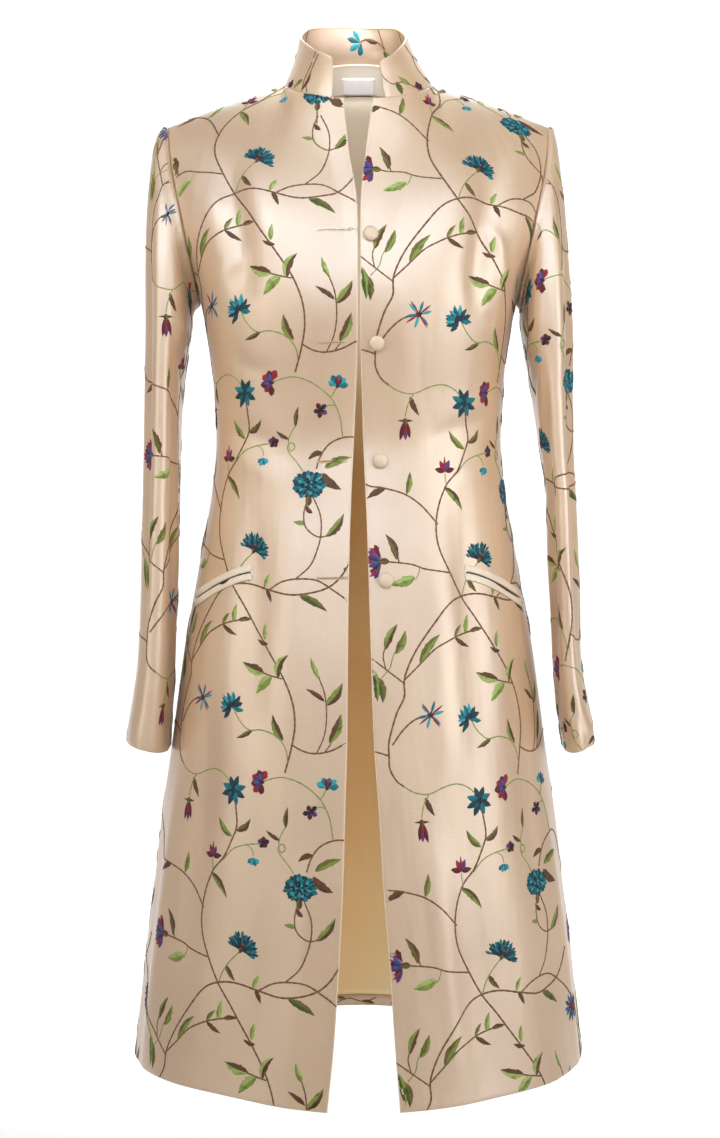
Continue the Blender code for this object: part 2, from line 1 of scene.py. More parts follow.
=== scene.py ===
import math
from collections import namedtuple

import bpy
import numpy as np
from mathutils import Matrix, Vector


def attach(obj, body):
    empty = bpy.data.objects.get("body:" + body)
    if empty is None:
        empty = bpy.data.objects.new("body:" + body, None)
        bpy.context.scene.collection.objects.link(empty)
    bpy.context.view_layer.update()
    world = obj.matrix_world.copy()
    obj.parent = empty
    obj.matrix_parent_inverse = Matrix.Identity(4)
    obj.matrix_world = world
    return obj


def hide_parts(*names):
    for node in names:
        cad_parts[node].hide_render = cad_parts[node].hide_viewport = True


# A long nehru jacket in embroidered silk satin. Tables are in millimetres, meshes in metres.
# Each cloth piece is a fine grid on the same sections as its solid, with rows from hem to top.

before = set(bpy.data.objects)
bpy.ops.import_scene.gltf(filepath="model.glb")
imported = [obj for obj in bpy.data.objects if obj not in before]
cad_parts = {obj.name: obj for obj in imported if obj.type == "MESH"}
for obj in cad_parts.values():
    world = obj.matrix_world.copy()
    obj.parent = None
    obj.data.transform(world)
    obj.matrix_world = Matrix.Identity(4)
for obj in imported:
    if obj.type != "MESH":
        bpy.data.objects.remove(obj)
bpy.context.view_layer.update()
MM = 0.001
rng = np.random.default_rng(11)

CLOTH = 2.0
COLLAR_CLOTH = 2.4
LINING_CLOTH = 1.0
WELT_CLOTH = 1.2
LABEL_CLOTH = 0.8
LAY_GAP = 0.3

WELT_LENGTH_X = (102.0, 160.0)
WELT_Z = (-474.5, -505.5)
WELT_ARCH = 2.5
WELT_DROP_POWER = 1.25
WELT_HEIGHT = 6.6
WELT_SLIT = 1.4
WELT_LIFT = 0.7
BUTTON_LIFT = 0.35
Button = namedtuple("Button", "x z")
BUTTONS = (Button(11.3, -154.0), Button(17.5, -256.4), Button(20.9, -367.6), Button(26.0, -480.1))
Ring = namedtuple("Ring", "radius height")
BUTTON_PROFILE = (Ring(0.0, 5.6), Ring(3.4, 5.2), Ring(5.8, 4.2), Ring(7.0, 2.9), Ring(7.25, 2.1),
                  Ring(6.4, 1.3), Ring(3.0, 0.9), Ring(2.8, 0.0), Ring(0.0, 0.0))
LABEL_WIDTH = 33.0
LABEL_ROWS = (0.03, 0.57)

# Cut of the jacket, as in the solids
UNDERARM_Z = -212.0
NECK_POINT = (73.0, 8.0, 0.0)
SHOULDER_TIP = (187.0, 2.0, -41.5)
SHOULDER_CROWN = 1.5
FRONT_NECK = (62.0, -21.0)
BACK_NECK = (52.0, 27.0)
NECK_DROP_POWER = 1.3
COLLAR_SETBACK = 26.0
COLUMNS = 11
NECK_COLUMNS = 5
UPPER_ROWS = (0.0, 0.13, 0.27, 0.41, 0.54, 0.66, 0.77, 0.87, 0.95, 1.0)
FACING_HEIGHT = 0.87
SHOULDER_ROUNDING = 0.3
WAIST_POWER = 2.1
SKIRT_EASE = 0.12
SKIRT_TOP_Z = -560.0
SKIRT_FADE = 300.0
CHEST_SQUARING = 0.4
CHEST_LOW_Z = -420.0
CHEST_FADE = 200.0
HEM_Z = -969.0
HEM_TURN_Z = -955.0
HEM_DIP = 9.0
HEM_DIP_POWER = {"right": 7.0, "left": 2.5}
HEM_FADE_Z = -640.0
SIDES = {"right": -1.0, "left": 1.0}
FACES = {"front": -1.0, "back": 1.0}


def named(columns, rows):
    """A table's rows with names for its columns."""
    Row = namedtuple("Row", columns)
    return [Row(*row) for row in rows]


BODY = named("z half_width front_depth back_depth", (
    (-969, 226.6, 187, 180),
    (-955, 225.2, 185, 178),
    (-905, 219.3, 181, 173),
    (-850, 213.0, 176, 168),
    (-790, 205.2, 170, 161),
    (-725, 197.6, 162, 154),
    (-660, 188.0, 155, 147),
    (-600, 180.0, 148, 140),
    (-545, 172.0, 141, 133),
    (-495, 162.5, 133, 124),
    (-450, 154.5, 125, 113),
    (-400, 145.8, 114, 98),
    (-350, 141.3, 107, 86),
    (-305, 143.2, 113, 84),
    (-260, 146.4, 125, 90),
    (UNDERARM_Z, 157.0, 134, 99),
))

CHEST = named("z half_width armhole_x front_depth back_depth", (
    (-212, 157, 157.0, 134, 99),
    (-184, 165, 162.0, 132, 104),
    (-156, 177, 167.5, 129, 106),
    (-127, 188, 173.0, 125, 105),
    (-99, 195, 179.5, 119, 102),
    (-71, 198, 184.5, 112, 98),
    (-43, 201, 187.0, 106, 94),
    (0, 203, 187.0, 101, 85),
    (30, 204, 187.0, 98, 78),
))

FRONT_EDGE = named("z right left", (
    (-977, 30.0, 40.0),
    (-905, 22.5, 34.0),
    (-838, 18.2, 29.5),
    (-768, 14.5, 23.7),
    (-699, 12.5, 19.5),
    (-629, 10.5, 14.4),
    (-520, 9.6, 10.9),
    (-424, 7.6, 7.8),
    (-354, 4.6, 4.7),
    (-290, 1.8, 2.8),
    (-240, 0.4, 1.6),
    (-134, 0.4, 1.6),
    (-105, 3.4, 3.2),
    (-80, 8.0, 6.2),
    (-50, 11.6, 9.6),
    (-20, 15.0, 14.2),
))

FOLD_SIDE_POWER = 6
Fold = namedtuple("Fold", "share width depth top")
FOLDS = {
    "front": (
        Fold(0.36, 0.17, -3.2, -560),
        Fold(0.62, 0.15, 3.4, -600),
        Fold(0.86, 0.12, -2.6, -640),
    ),
    "back": (
        Fold(0.0, 0.12, 3.0, -480),
        Fold(0.30, 0.14, -4.5, -520),
        Fold(0.55, 0.14, 4.2, -560),
        Fold(0.80, 0.12, -3.4, -600),
    ),
}

SLEEVE = named("z outer_lift right_inner right_outer left_inner left_outer front back", (
    (-656, 10, 187.6, 229.8, 203.4, 232.4, -78, 30),
    (-639, 8, 186.6, 228.2, 201.0, 231.8, -79, 31),
    (-608, 4, 184.6, 223.6, 196.4, 226.0, -79, 32),
    (-569, 1, 182.6, 218.6, 193.6, 219.8, -78, 34),
    (-520, 0, 181.0, 215.8, 191.4, 217.0, -76, 37),
    (-465, 0, 178.8, 213.4, 188.2, 215.0, -74, 41),
    (-410, 0, 178.4, 211.2, 187.2, 212.1, -72, 45),
    (-355, 0, 177.0, 209.6, 179.8, 209.6, -70, 50),
    (-305, 0, 174.2, 208.8, 172.0, 209.0, -70, 56),
    (-265, 0, 169.5, 208.0, 165.6, 209.2, -71, 62),
    (-236, 0, 164.6, 207.6, 160.8, 209.0, -72, 66),
))
SLEEVE_POWER = 2.4
Cap = namedtuple("Cap", "rise lean reach")
CAPS = {"right": Cap(0.70, 0.0, 22.0), "left": Cap(0.60, 9.0, 15.0)}
CAP_SIDEWAYS = 0.6
CAP_SIDEWAYS_SWING = 0.4
CAP_FORWARD = 0.6
CAP_DROP = 0.45
CAP_DROP_SWING = 0.55
CAP_REACH_SHARE = 0.45

COLLAR_TOP = named("share x y z", (
    (0.00, -25.4, -59.0, 16.0),
    (0.02, -27.0, -58.4, 18.5),
    (0.12, -46.0, -40.0, 30.0),
    (0.25, -58.0, 2.0, 47.0),
    (0.37, -46.5, 33.0, 59.5),
    (0.50, -5.0, 50.0, 62.5),
    (0.63, 37.0, 33.0, 59.5),
    (0.75, 47.8, 2.0, 46.5),
    (0.88, 38.5, -40.0, 28.0),
    (0.98, 22.0, -58.4, 14.0),
    (1.00, 20.4, -59.0, 11.5),
))
COLLAR_BULGE = 2.2


def column(table, name):
    """One column of a table as an array, in rising order of the table's first column."""
    rows = sorted(table, key=lambda row: row[0])
    return np.array([getattr(row, name) for row in rows], dtype=float)


def smooth(table, name, where):
    """Values read from a table's column on a monotone cubic through its rows."""
    knots = column(table, table[0]._fields[0])
    values = column(table, name)
    steps = np.diff(knots)
    slopes = np.diff(values) / steps
    same_way = slopes[:-1] * slopes[1:] > 0
    before = np.where(same_way, slopes[:-1], 1.0)
    after = np.where(same_way, slopes[1:], 1.0)
    bend = np.zeros(len(knots))
    bend[1:-1] = np.where(same_way, 2.0 / (1.0 / before + 1.0 / after), 0.0)
    bend[0] = slopes[0]
    bend[-1] = slopes[-1]
    where = np.clip(np.asarray(where, dtype=float), knots[0], knots[-1])
    i = np.clip(np.searchsorted(knots, where) - 1, 0, len(steps) - 1)
    t = (where - knots[i]) / steps[i]
    return (values[i] * (1 + 2 * t) * (1 - t) ** 2 + values[i + 1] * t * t * (3 - 2 * t)
            + steps[i] * (bend[i] * t * (1 - t) ** 2 - bend[i + 1] * t * t * (1 - t)))


def ease(value, low, high):
    """Smooth step from 0 at low to 1 at high."""
    t = np.clip((np.asarray(value, dtype=float) - low) / (high - low), 0.0, 1.0)
    return t * t * (3.0 - 2.0 * t)


def roundness(z):
    """The power of the section's curve: an ellipse in the skirt, squarer over the chest."""
    skirt = np.clip((SKIRT_TOP_Z - z) / SKIRT_FADE, 0.0, 1.0)
    chest = np.clip((z - CHEST_LOW_Z) / CHEST_FADE, 0.0, 1.0)
    return WAIST_POWER - SKIRT_EASE * skirt + CHEST_SQUARING * chest


def depth_share(x, half_width, power):
    """The part of the full depth that a section keeps at x, from 1 at its middle to 0 at its side."""
    return np.maximum(0.0, 1.0 - np.minimum(1.0, np.abs(x) / half_width) ** power) ** (1.0 / power)


def spread(stops, step, tight=()):
    """Places along an edge: even steps between the stops, and some close to each end."""
    places = [np.array(tight), stops[-1] - np.array(tight)]
    for a, b in zip(stops[:-1], stops[1:]):
        places.append(np.linspace(a, b, max(2, int(round((b - a) / step)) + 1)))
    return np.unique(np.round(np.concatenate(places), 5))


def nearest(values, wanted):
    """The number of the value that lies nearest to the wanted one."""
    return int(np.argmin(np.abs(values - wanted)))


def run_of(steps):
    """Length along a line from its first point, by the lengths of its steps."""
    return np.concatenate([[0.0], np.cumsum(steps)])


# Places on the fine grids: columns in the table's columns, lower rows in z, upper rows as heights
TIGHT_COLUMNS = (0.035, 0.08, 0.15, 0.26)
# Columns by the front edges painted in the paler satin, as a highlight
HIGHLIGHT_EDGE_COLUMNS = 1
COLUMN_STEP = 0.17
FRONT_PLACES = spread((0.0, 1.0, NECK_COLUMNS, COLUMNS), COLUMN_STEP, TIGHT_COLUMNS)
BACK_PLACES = spread((0.0, 1.0, NECK_COLUMNS, COLUMNS), COLUMN_STEP)
BACK_PLACES = np.unique(np.concatenate([BACK_PLACES, COLUMNS - np.array(TIGHT_COLUMNS)]))
HEM_ROWS = (0.0, 0.8, 2.0, 4.0, 8.0)
LOWER_STEPS = 128
LOWER_Z = np.unique(np.concatenate([HEM_Z + np.array(HEM_ROWS),
                                    np.linspace(HEM_TURN_Z, UNDERARM_Z, LOWER_STEPS)]))
BUST_ROW = len(LOWER_Z) - 1
UPPER_STEPS = 42
SHOULDER_CLUSTER = 1.3
LAST_HEIGHT = 0.994
bent = np.sin(np.linspace(0.0, SHOULDER_CLUSTER, UPPER_STEPS)) / math.sin(SHOULDER_CLUSTER)
UPPER_HEIGHTS = np.unique(np.concatenate([bent, [FACING_HEIGHT, LAST_HEIGHT]]))[1:]
CUFF_ROWS = (0.0, 0.8, 2.0, 4.0)
CUFF_TOP = 6.0
SLEEVE_STEPS = 78
SLEEVE_LOWER = np.unique(np.concatenate([SLEEVE[0].z + np.array(CUFF_ROWS),
                                         np.linspace(SLEEVE[0].z + CUFF_TOP, SLEEVE[-1].z, SLEEVE_STEPS)]))
CAP_SHARES = np.concatenate([np.linspace(0.0, 0.94, 25)[1:], [0.97, 0.988, 1.0]])
COLLAR_SHARES = np.unique(np.concatenate([np.linspace(0.0, 1.0, 15), [0.985, 0.96, 0.015]]))
SECTION_SAMPLES = 400
LOOP_SAMPLES = 721

# How far the kinks of a half's grid are smoothed out: all across it, and down it by the underarm row
RELAX_STEPS = 60
RELAX_RATE = 0.25
RELAX_FADE = 0.3
RELAX_MIDDLE = 0.12
RELAX_ROWS = (4.0, 16.0)

# Where the flat cloth's grain lines lie
NECK_OPENS_Z = -134.0
SLEEVE_GRAIN = 155.0


def lower_rows(face, side, places):
    """The rows from hem to underarm of one half of the front or back, as points on the outer face."""
    rows = []
    for z in LOWER_Z:
        power = roundness(z)
        half_width = smooth(BODY, "half_width", z)
        depth = smooth(BODY, face + "_depth", z)
        start = smooth(FRONT_EDGE, side, z) if face == "front" else 0.0
        first_turn = math.asin((start / half_width) ** (power / 2.0))
        turn = np.linspace(first_turn, math.pi / 2.0, SECTION_SAMPLES)
        x = half_width * np.sin(turn) ** (2.0 / power)
        y = depth * np.abs(np.cos(turn)) ** (2.0 / power)
        length = run_of(np.hypot(np.diff(x), np.diff(y)))
        share = places / COLUMNS
        turns = np.interp(share * length[-1], length, turn)
        x = half_width * np.sin(turns) ** (2.0 / power)
        keep = np.abs(np.cos(turns)) ** (2.0 / power)
        out = np.zeros_like(share)
        for fold in FOLDS[face]:
            grow = ease(fold.top - z, 0.0, fold.top - HEM_Z)
            out += fold.depth * grow * np.exp(-((share - fold.share) / fold.width) ** 2)
        out *= 1.0 - share ** FOLD_SIDE_POWER
        dip = np.zeros_like(share)
        if face == "front":
            dip = HEM_DIP * keep ** HEM_DIP_POWER[side]
            dip = dip * np.clip((HEM_FADE_Z - z) / (HEM_FADE_Z - HEM_Z), 0.0, 1.0)
        y = (depth + out) * keep * FACES[face]
        x = SIDES[side] * (x + out * (x / half_width) ** 2)
        rows.append(np.column_stack([x, y, z - dip]))
    return np.array(rows)


def top_edge(face, side, places):
    """The top edge of one half: round the neck to the neck point, then along the shoulder."""
    neck_depth, neck_z = FRONT_NECK if face == "front" else BACK_NECK
    sign = FACES[face]
    reach = neck_depth - sign * NECK_POINT[1]
    if face == "front":
        start = float(smooth(FRONT_EDGE, side, neck_z))
        stops = [math.asin(start / NECK_POINT[0])]
        first = math.asin(COLLAR_SETBACK / NECK_POINT[0])
        stops += list(np.linspace(first, math.pi / 2.0, NECK_COLUMNS))
    else:
        stops = list(np.linspace(0.0, math.pi / 2.0, NECK_COLUMNS + 1))
    turn = np.interp(places, np.arange(NECK_COLUMNS + 1), stops)
    lift = np.maximum(np.cos(turn), 0.0) ** NECK_DROP_POWER
    neck = np.column_stack([NECK_POINT[0] * np.sin(turn),
                            NECK_POINT[1] + sign * reach * np.cos(turn),
                            NECK_POINT[2] + (neck_z - NECK_POINT[2]) * lift])
    share = np.clip((places - NECK_COLUMNS) / (COLUMNS - NECK_COLUMNS), 0.0, 1.0)[:, None]
    shoulder = np.array(NECK_POINT) * (1.0 - share) + np.array(SHOULDER_TIP) * share
    shoulder[:, 2] += SHOULDER_CROWN * np.sin(math.pi * share[:, 0])
    points = np.where((places <= NECK_COLUMNS)[:, None], neck, shoulder)
    points[:, 0] *= SIDES[side]
    return points


def upper_rows(face, side, places, bust):
    """The rows from underarm to neck and shoulder of one half, above the bust row."""
    sign = FACES[face]
    top = top_edge(face, side, places)
    share = places / COLUMNS
    last_gap = np.clip((share - 1.0) * COLUMNS + 1.0, 0.0, 1.0)
    first_gap = np.clip(1.0 - places, 0.0, 1.0)
    past_neck = ease(places, 0.0, NECK_COLUMNS + 1.0)
    rows = []
    for height in UPPER_HEIGHTS:
        z = UNDERARM_Z + (top[:, 2] - UNDERARM_Z) * height
        rise = height * height * (3.0 - 2.0 * height)
        rise = rise * (1.0 - last_gap) + height * last_gap
        plain = np.abs(bust[:, 0]) + (np.abs(top[:, 0]) - np.abs(bust[:, 0])) * rise
        x = plain + (smooth(CHEST, "armhole_x", z[-1]) - plain[-1]) * share ** 3
        if face == "front":
            x += (smooth(FRONT_EDGE, side, z[0]) - x[0]) * first_gap
        reached = (1.0 - height ** 2) ** (1.0 - SHOULDER_ROUNDING * past_neck)
        full = smooth(CHEST, face + "_depth", z)
        keep = depth_share(x, smooth(CHEST, "half_width", z), roundness(z))
        y = top[:, 1] * (1.0 - reached) + sign * full * keep * reached
        rows.append(np.column_stack([SIDES[side] * x, y, z]))
    rows[-1] = top
    return np.array(rows)


def half_grid(face, side):
    """Rows and columns of one half, hem to shoulder and middle to side."""
    places = FRONT_PLACES if face == "front" else BACK_PLACES
    lower = lower_rows(face, side, places)
    return np.concatenate([lower, upper_rows(face, side, places, lower[-1])])


def sleeve_loops(side, z, turns):
    """Flattened loops of points round the sleeve, from its inner side by the front to the outer."""
    loops = []
    for height in z:
        inner, outer, front, back, lift = (
            float(smooth(SLEEVE, name, height))
            for name in (side + "_inner", side + "_outer", "front", "back", "outer_lift"))
        half_x = (outer - inner) / 2.0
        half_y = (back - front) / 2.0
        turn = np.linspace(0.0, 2.0 * math.pi, LOOP_SAMPLES)
        cos, sin = np.cos(turn), np.sin(turn)
        x = (inner + outer) / 2.0 - half_x * np.sign(cos) * np.abs(cos) ** (2.0 / SLEEVE_POWER)
        y = (front + back) / 2.0 - half_y * np.sign(sin) * np.abs(sin) ** (2.0 / SLEEVE_POWER)
        length = run_of(np.hypot(np.diff(x), np.diff(y)))
        loop_x = np.interp(turns * length[-1], length, x)
        loop_y = np.interp(turns * length[-1], length, y)
        loop_z = height + lift * (loop_x - inner) / (outer - inner)
        loops.append(np.column_stack([SIDES[side] * loop_x, loop_y, loop_z]))
    return np.array(loops)


def sleeve_grid(front, back, side):
    """Rows of the sleeve from the cuff up to the armhole, as closed loops of points."""
    hole = np.concatenate([front[BUST_ROW:, -1], back[BUST_ROW:-1, -1][::-1]])[:-1]
    heights = np.concatenate([[0.0], UPPER_HEIGHTS])
    number = np.interp(heights, UPPER_ROWS, np.arange(len(UPPER_ROWS)))
    whole = 2.0 * (len(UPPER_ROWS) - 1)
    turns = (np.concatenate([number, whole - number[:-1][::-1]]) / whole)[:-1]
    rows = list(sleeve_loops(side, SLEEVE_LOWER, turns))
    loop = rows[-1]
    cap = CAPS[side]
    turn = 2.0 * math.pi * turns
    away = np.column_stack([SIDES[side] * (CAP_SIDEWAYS - CAP_SIDEWAYS_SWING * np.cos(turn)),
                            -CAP_FORWARD * np.sin(turn),
                            -CAP_DROP - CAP_DROP_SWING * np.cos(turn)])
    away /= np.linalg.norm(away, axis=1)[:, None]
    near = loop.copy()
    near[:, 0] -= SIDES[side] * cap.lean * np.maximum(0.0, -np.cos(turn))
    near[:, 2] += cap.rise * np.maximum(0.0, hole[:, 2] - loop[:, 2])
    reach = np.minimum(cap.reach, CAP_REACH_SHARE * np.linalg.norm(hole - loop, axis=1))
    far = hole + away * reach[:, None]
    for b in CAP_SHARES:
        a = 1.0 - b
        rows.append(a ** 3 * loop + 3 * a * a * b * near + 3 * a * b * b * far + b ** 3 * hole)
    return np.array(rows)


def neck_line(grids):
    """The neck seam's points from the collar's right front end round the back to its left one."""
    first = nearest(FRONT_PLACES, 1.0)
    front_neck = nearest(FRONT_PLACES, NECK_COLUMNS)
    back_neck = nearest(BACK_PLACES, NECK_COLUMNS)
    return np.concatenate([
        grids["front", "right"][-1, first:front_neck + 1],
        grids["back", "right"][-1, :back_neck][::-1],
        grids["back", "left"][-1, 1:back_neck + 1],
        grids["front", "left"][-1, first:front_neck][::-1],
    ])


def collar_grid(base):
    """Rows of the stand collar from the neck seam up to its top edge."""
    run = run_of(np.linalg.norm(np.diff(base, axis=0), axis=1))
    top = np.column_stack([smooth(COLLAR_TOP, axis, run / run[-1]) for axis in "xyz"])
    rows = []
    for height in COLLAR_SHARES:
        row = base * (1.0 - height) + top * height
        out = row[:, :2] / np.linalg.norm(row[:, :2], axis=1)[:, None]
        row[:, :2] -= out * COLLAR_BULGE * 4.0 * height * (1.0 - height)
        rows.append(row)
    return np.array(rows)


# How grid places are found from flat ones: steps, the most rows and columns a step, how far past the
# grid it may look, and the miss in millimetres that still counts as found
SOLVE_STEPS = 14
SOLVE_REACH = np.array([30.0, 20.0])
SOLVE_PAST = 0.4
SOLVE_MISS = 0.8


def cells(at, grid):
    """The cell of each grid place: its first row and column, and the shares past them."""
    i = np.clip(np.floor(at[:, 0]).astype(int), 0, grid.shape[0] - 2)
    j = np.clip(np.floor(at[:, 1]).astype(int), 0, grid.shape[1] - 2)
    return i, j, (at[:, 0] - i)[:, None], (at[:, 1] - j)[:, None]


def blended(grid, i, j, s, t):
    """A grid's values inside its cells."""
    return (grid[i, j] * (1 - s) * (1 - t) + grid[i, j + 1] * (1 - s) * t
            + grid[i + 1, j] * s * (1 - t) + grid[i + 1, j + 1] * s * t)


class Sheet:
    """A grid of points on a cloth piece's outer face, its normals, and its places on the flat cloth."""

    def __init__(self, name, points, closed=False, flip=False):
        self.name = name
        self.part = name.removesuffix("_cloth")
        self.points = np.array(points, dtype=float)
        self.closed = closed
        self.flip = flip
        self.flat = None
        self.renew()

    def renew(self):
        """Outward unit normals from each point's neighbours."""
        points = self.points
        if self.closed:
            along = np.roll(points, -1, axis=1) - np.roll(points, 1, axis=1)
        else:
            along = np.gradient(points, axis=1)
        normal = np.cross(along, np.gradient(points, axis=0)) * (-1.0 if self.flip else 1.0)
        self.normals = normal / np.linalg.norm(normal, axis=2)[:, :, None]

    def push(self, depth):
        """Move the points out along their normals by a depth for each."""
        self.points = self.points + self.normals * depth[:, :, None]
        self.renew()

    def along(self):
        """Length along each row from its first point."""
        steps = np.linalg.norm(np.diff(self.points, axis=1), axis=2)
        return np.concatenate([np.zeros((len(steps), 1)), np.cumsum(steps, axis=1)], axis=1)

    def up(self):
        """Length up each column from its first point."""
        steps = np.linalg.norm(np.diff(self.points, axis=0), axis=2)
        return np.concatenate([np.zeros((1, steps.shape[1])), np.cumsum(steps, axis=0)])

    def edges(self):
        """Each point's distances from the first and last columns and from the low and top rows."""
        along, up = self.along(), self.up()
        return {"first": along, "last": along[:, -1:] - along, "low": up, "top": up[-1:] - up}

    def under(self, name, rows, columns, distance):
        """A piece on part of this one's grid, under its face by a distance."""
        made = Sheet(name, (self.points - self.normals * distance)[rows, columns], flip=self.flip)
        made.flat = self.flat[rows, columns]
        return made

    def inside(self, name, thickness):
        """The piece's inner face as a sheet of its own, so that things can be laid on it."""
        made = Sheet(name, self.points - self.normals * thickness, flip=not self.flip)
        made.flat = self.flat * (-1.0, 1.0)
        return made

    def solve(self, places, flat=None):
        """Grid places (row, column) of flat places, and which of them lie on the piece."""
        flat = self.flat if flat is None else flat
        size = np.array(flat.shape[:2], dtype=float)
        at = np.tile(size / 2.0, (len(places), 1))
        for _ in range(SOLVE_STEPS):
            i, j, s, t = cells(at, flat)
            a, b, c, d = flat[i, j], flat[i, j + 1], flat[i + 1, j], flat[i + 1, j + 1]
            down = (c - a) * (1 - t) + (d - b) * t
            side = (b - a) * (1 - s) + (d - c) * s
            miss = places - blended(flat, i, j, s, t)
            det = down[:, 0] * side[:, 1] - down[:, 1] * side[:, 0]
            step = np.column_stack([miss[:, 0] * side[:, 1] - miss[:, 1] * side[:, 0],
                                    down[:, 0] * miss[:, 1] - down[:, 1] * miss[:, 0]]) / det[:, None]
            at = np.clip(at + np.clip(step, -SOLVE_REACH, SOLVE_REACH), -SOLVE_PAST, size - 1.0 + SOLVE_PAST)
        good = (np.linalg.norm(miss, axis=1) < SOLVE_MISS) & ((at >= 0) & (at <= size - 1.0)).all(axis=1)
        return at, good

    def at_xz(self, places):
        """Grid places of points given by x and z, and their flat places."""
        at, good = self.solve(np.asarray(places, dtype=float), self.points[:, :, ::2])
        assert good.all()
        return at, blended(self.flat, *cells(at, self.flat))

    def lift(self, at, height):
        """Points at grid places, moved out along the normals by a height, and the normals there."""
        i, j, s, t = cells(at, self.points)
        s, t = np.clip(s, 0.0, 1.0), np.clip(t, 0.0, 1.0)
        normal = blended(self.normals, i, j, s, t)
        normal /= np.linalg.norm(normal, axis=1)[:, None]
        return blended(self.points, i, j, s, t) + normal * np.asarray(height)[:, None], normal


# The width of cloth that the pattern of a tube's cloth takes round it
TUBE_GIRTH = 8.0


def linked(name, data):
    """A new object in the scene."""
    made = bpy.data.objects.new(name, data)
    bpy.context.scene.collection.objects.link(made)
    return made


def riding(made, replaced=None):
    """Hand a piece to the frame: it rides the one body, and the solid it replaces is hidden."""
    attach(made, "root")
    if replaced:
        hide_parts(replaced)
    return made


def new_mesh(name, points, faces, stuffs, slots=None):
    """A smooth mesh from points in millimetres, and the vertex at each corner of its faces."""
    mesh = bpy.data.meshes.new(name)
    mesh.from_pydata((points * MM).tolist(), [], faces)
    for stuff in stuffs:
        mesh.materials.append(stuff)
    if slots is not None:
        mesh.polygons.foreach_set("material_index", slots)
    mesh.shade_smooth()
    corners = np.empty(len(mesh.loops), dtype=np.int32)
    mesh.loops.foreach_get("vertex_index", corners)
    return mesh, corners


def cloth_object(mesh, places):
    """An object of a mesh, with the flat places of its face corners as UVs."""
    mesh.uv_layers.new(name="cloth").data.foreach_set("uv", (places * MM).ravel())
    return linked(mesh.name, mesh)


def wall_mesh(sheet, thickness, stuffs):
    """A closed wall under a sheet, of two or three materials: the face's, the inside's, the edges'; the
    edges' material also takes the face's first columns, which on the fronts is a paler satin painted as a
    highlight.
    """
    rows, columns = sheet.points.shape[:2]
    count = rows * columns
    spans = columns if sheet.closed else columns - 1
    i, j = np.meshgrid(np.arange(rows - 1), np.arange(spans), indexing="ij")
    a = (i * columns + j).ravel()
    b = (i * columns + (j + 1) % columns).ravel()
    top = np.column_stack([a, b, b + columns, a + columns])
    ring = np.arange(spans)
    after = (ring + 1) % columns
    base = (rows - 1) * columns
    faces = [top, top[:, ::-1] + count,
             np.column_stack([ring + count, after + count, after, ring]),
             np.column_stack([base + ring, base + after, base + after + count, base + ring + count])]
    if not sheet.closed:
        low = np.arange(rows - 1) * columns
        high = low + columns - 1
        faces += [np.column_stack([low, low + columns, low + columns + count, low + count]),
                  np.column_stack([high + count, high + columns + count, high + columns, high])]
    faces = np.concatenate(faces)
    if sheet.flip:
        faces = faces[:, ::-1]
    slots = np.zeros(len(faces), dtype=np.int32)
    slots[len(top):2 * len(top)] = 1
    if len(stuffs) > 2:
        slots[:len(top)][j.ravel() < HIGHLIGHT_EDGE_COLUMNS] = 2
        slots[2 * len(top):] = 2
    points = np.concatenate([sheet.points, sheet.points - sheet.normals * thickness]).reshape(-1, 3)
    mesh, corners = new_mesh(sheet.name, points, faces.tolist(), stuffs, slots)
    flat = sheet.flat[:, :columns].reshape(-1, 2)
    places = np.concatenate([flat, flat])[corners]
    if sheet.closed:
        quads = (corners % columns).reshape(-1, 4)
        crossing = ((quads.max(axis=1) - quads.min(axis=1) > 1)[:, None] & (quads == 0)).ravel()
        places[crossing] = sheet.flat[corners[crossing] % count // columns, -1]
    return cloth_object(mesh, places)


def tube(name, rings, stuff):
    """A solid skin over rings of points (n, m, 3), with its ends filled."""
    n, m = rings.shape[:2]
    i, j = np.meshgrid(np.arange(n - 1), np.arange(m), indexing="ij")
    a = (i * m + j).ravel()
    b = (i * m + (j + 1) % m).ravel()
    faces = np.column_stack([a, b, b + m, a + m]).tolist()
    faces += [list(range(m))[::-1], list(range((n - 1) * m, n * m))]
    mesh, corners = new_mesh(name, rings.reshape(-1, 3), faces, [stuff])
    run = run_of(np.linalg.norm(np.diff(rings.mean(axis=1), axis=0), axis=1))
    girth = np.linspace(0.0, TUBE_GIRTH, m)
    flat = np.dstack([np.tile(girth, (n, 1)), np.tile(run[:, None], (1, m))]).reshape(-1, 2)
    return cloth_object(mesh, flat[corners])


def relaxed(grid):
    """A half's grid with the kinks under the neck point and at the underarm row smoothed out."""
    grid = grid.copy()
    heights = np.concatenate([np.zeros(len(LOWER_Z)), UPPER_HEIGHTS])
    places = np.linspace(0.0, 1.0, grid.shape[1])
    from_bust = np.abs(np.arange(len(grid)) - BUST_ROW)
    across = ease(heights, 0.0, RELAX_FADE) * ease(1.0 - heights, 0.0, RELAX_FADE)
    down = (1.0 - ease(from_bust, *RELAX_ROWS))[:, None] * ease(1.0 - places, 0.0, RELAX_MIDDLE)
    across, down = RELAX_RATE * across[:, None, None], RELAX_RATE * down[1:-1, :, None]
    for _ in range(RELAX_STEPS):
        grid[:, 1:-1] += across * (grid[:, :-2] - 2.0 * grid[:, 1:-1] + grid[:, 2:])
        grid[1:-1] += down * (grid[:-2] - 2.0 * grid[1:-1] + grid[2:])
    return grid


def flat_heights(sheet, first):
    """Places down the cloth: the height itself up to row first, then the length up the column."""
    up = sheet.up()
    height = sheet.points[:, :, 2].copy()
    height[first:] = height[first] + up[first:] - up[first]
    return height


def lay_front(sheet, side):
    """Flat places of a front: out from the grain line that the front edge follows below the neck."""
    z = sheet.points[:, 0, 2]
    past = smooth(FRONT_EDGE, side, z) - smooth(FRONT_EDGE, side, NECK_OPENS_Z)
    start = np.where(z > NECK_OPENS_Z, past, 0.0)
    out = SIDES[side] * (sheet.along() + start[:, None])
    sheet.flat = np.dstack([out, flat_heights(sheet, BUST_ROW)])


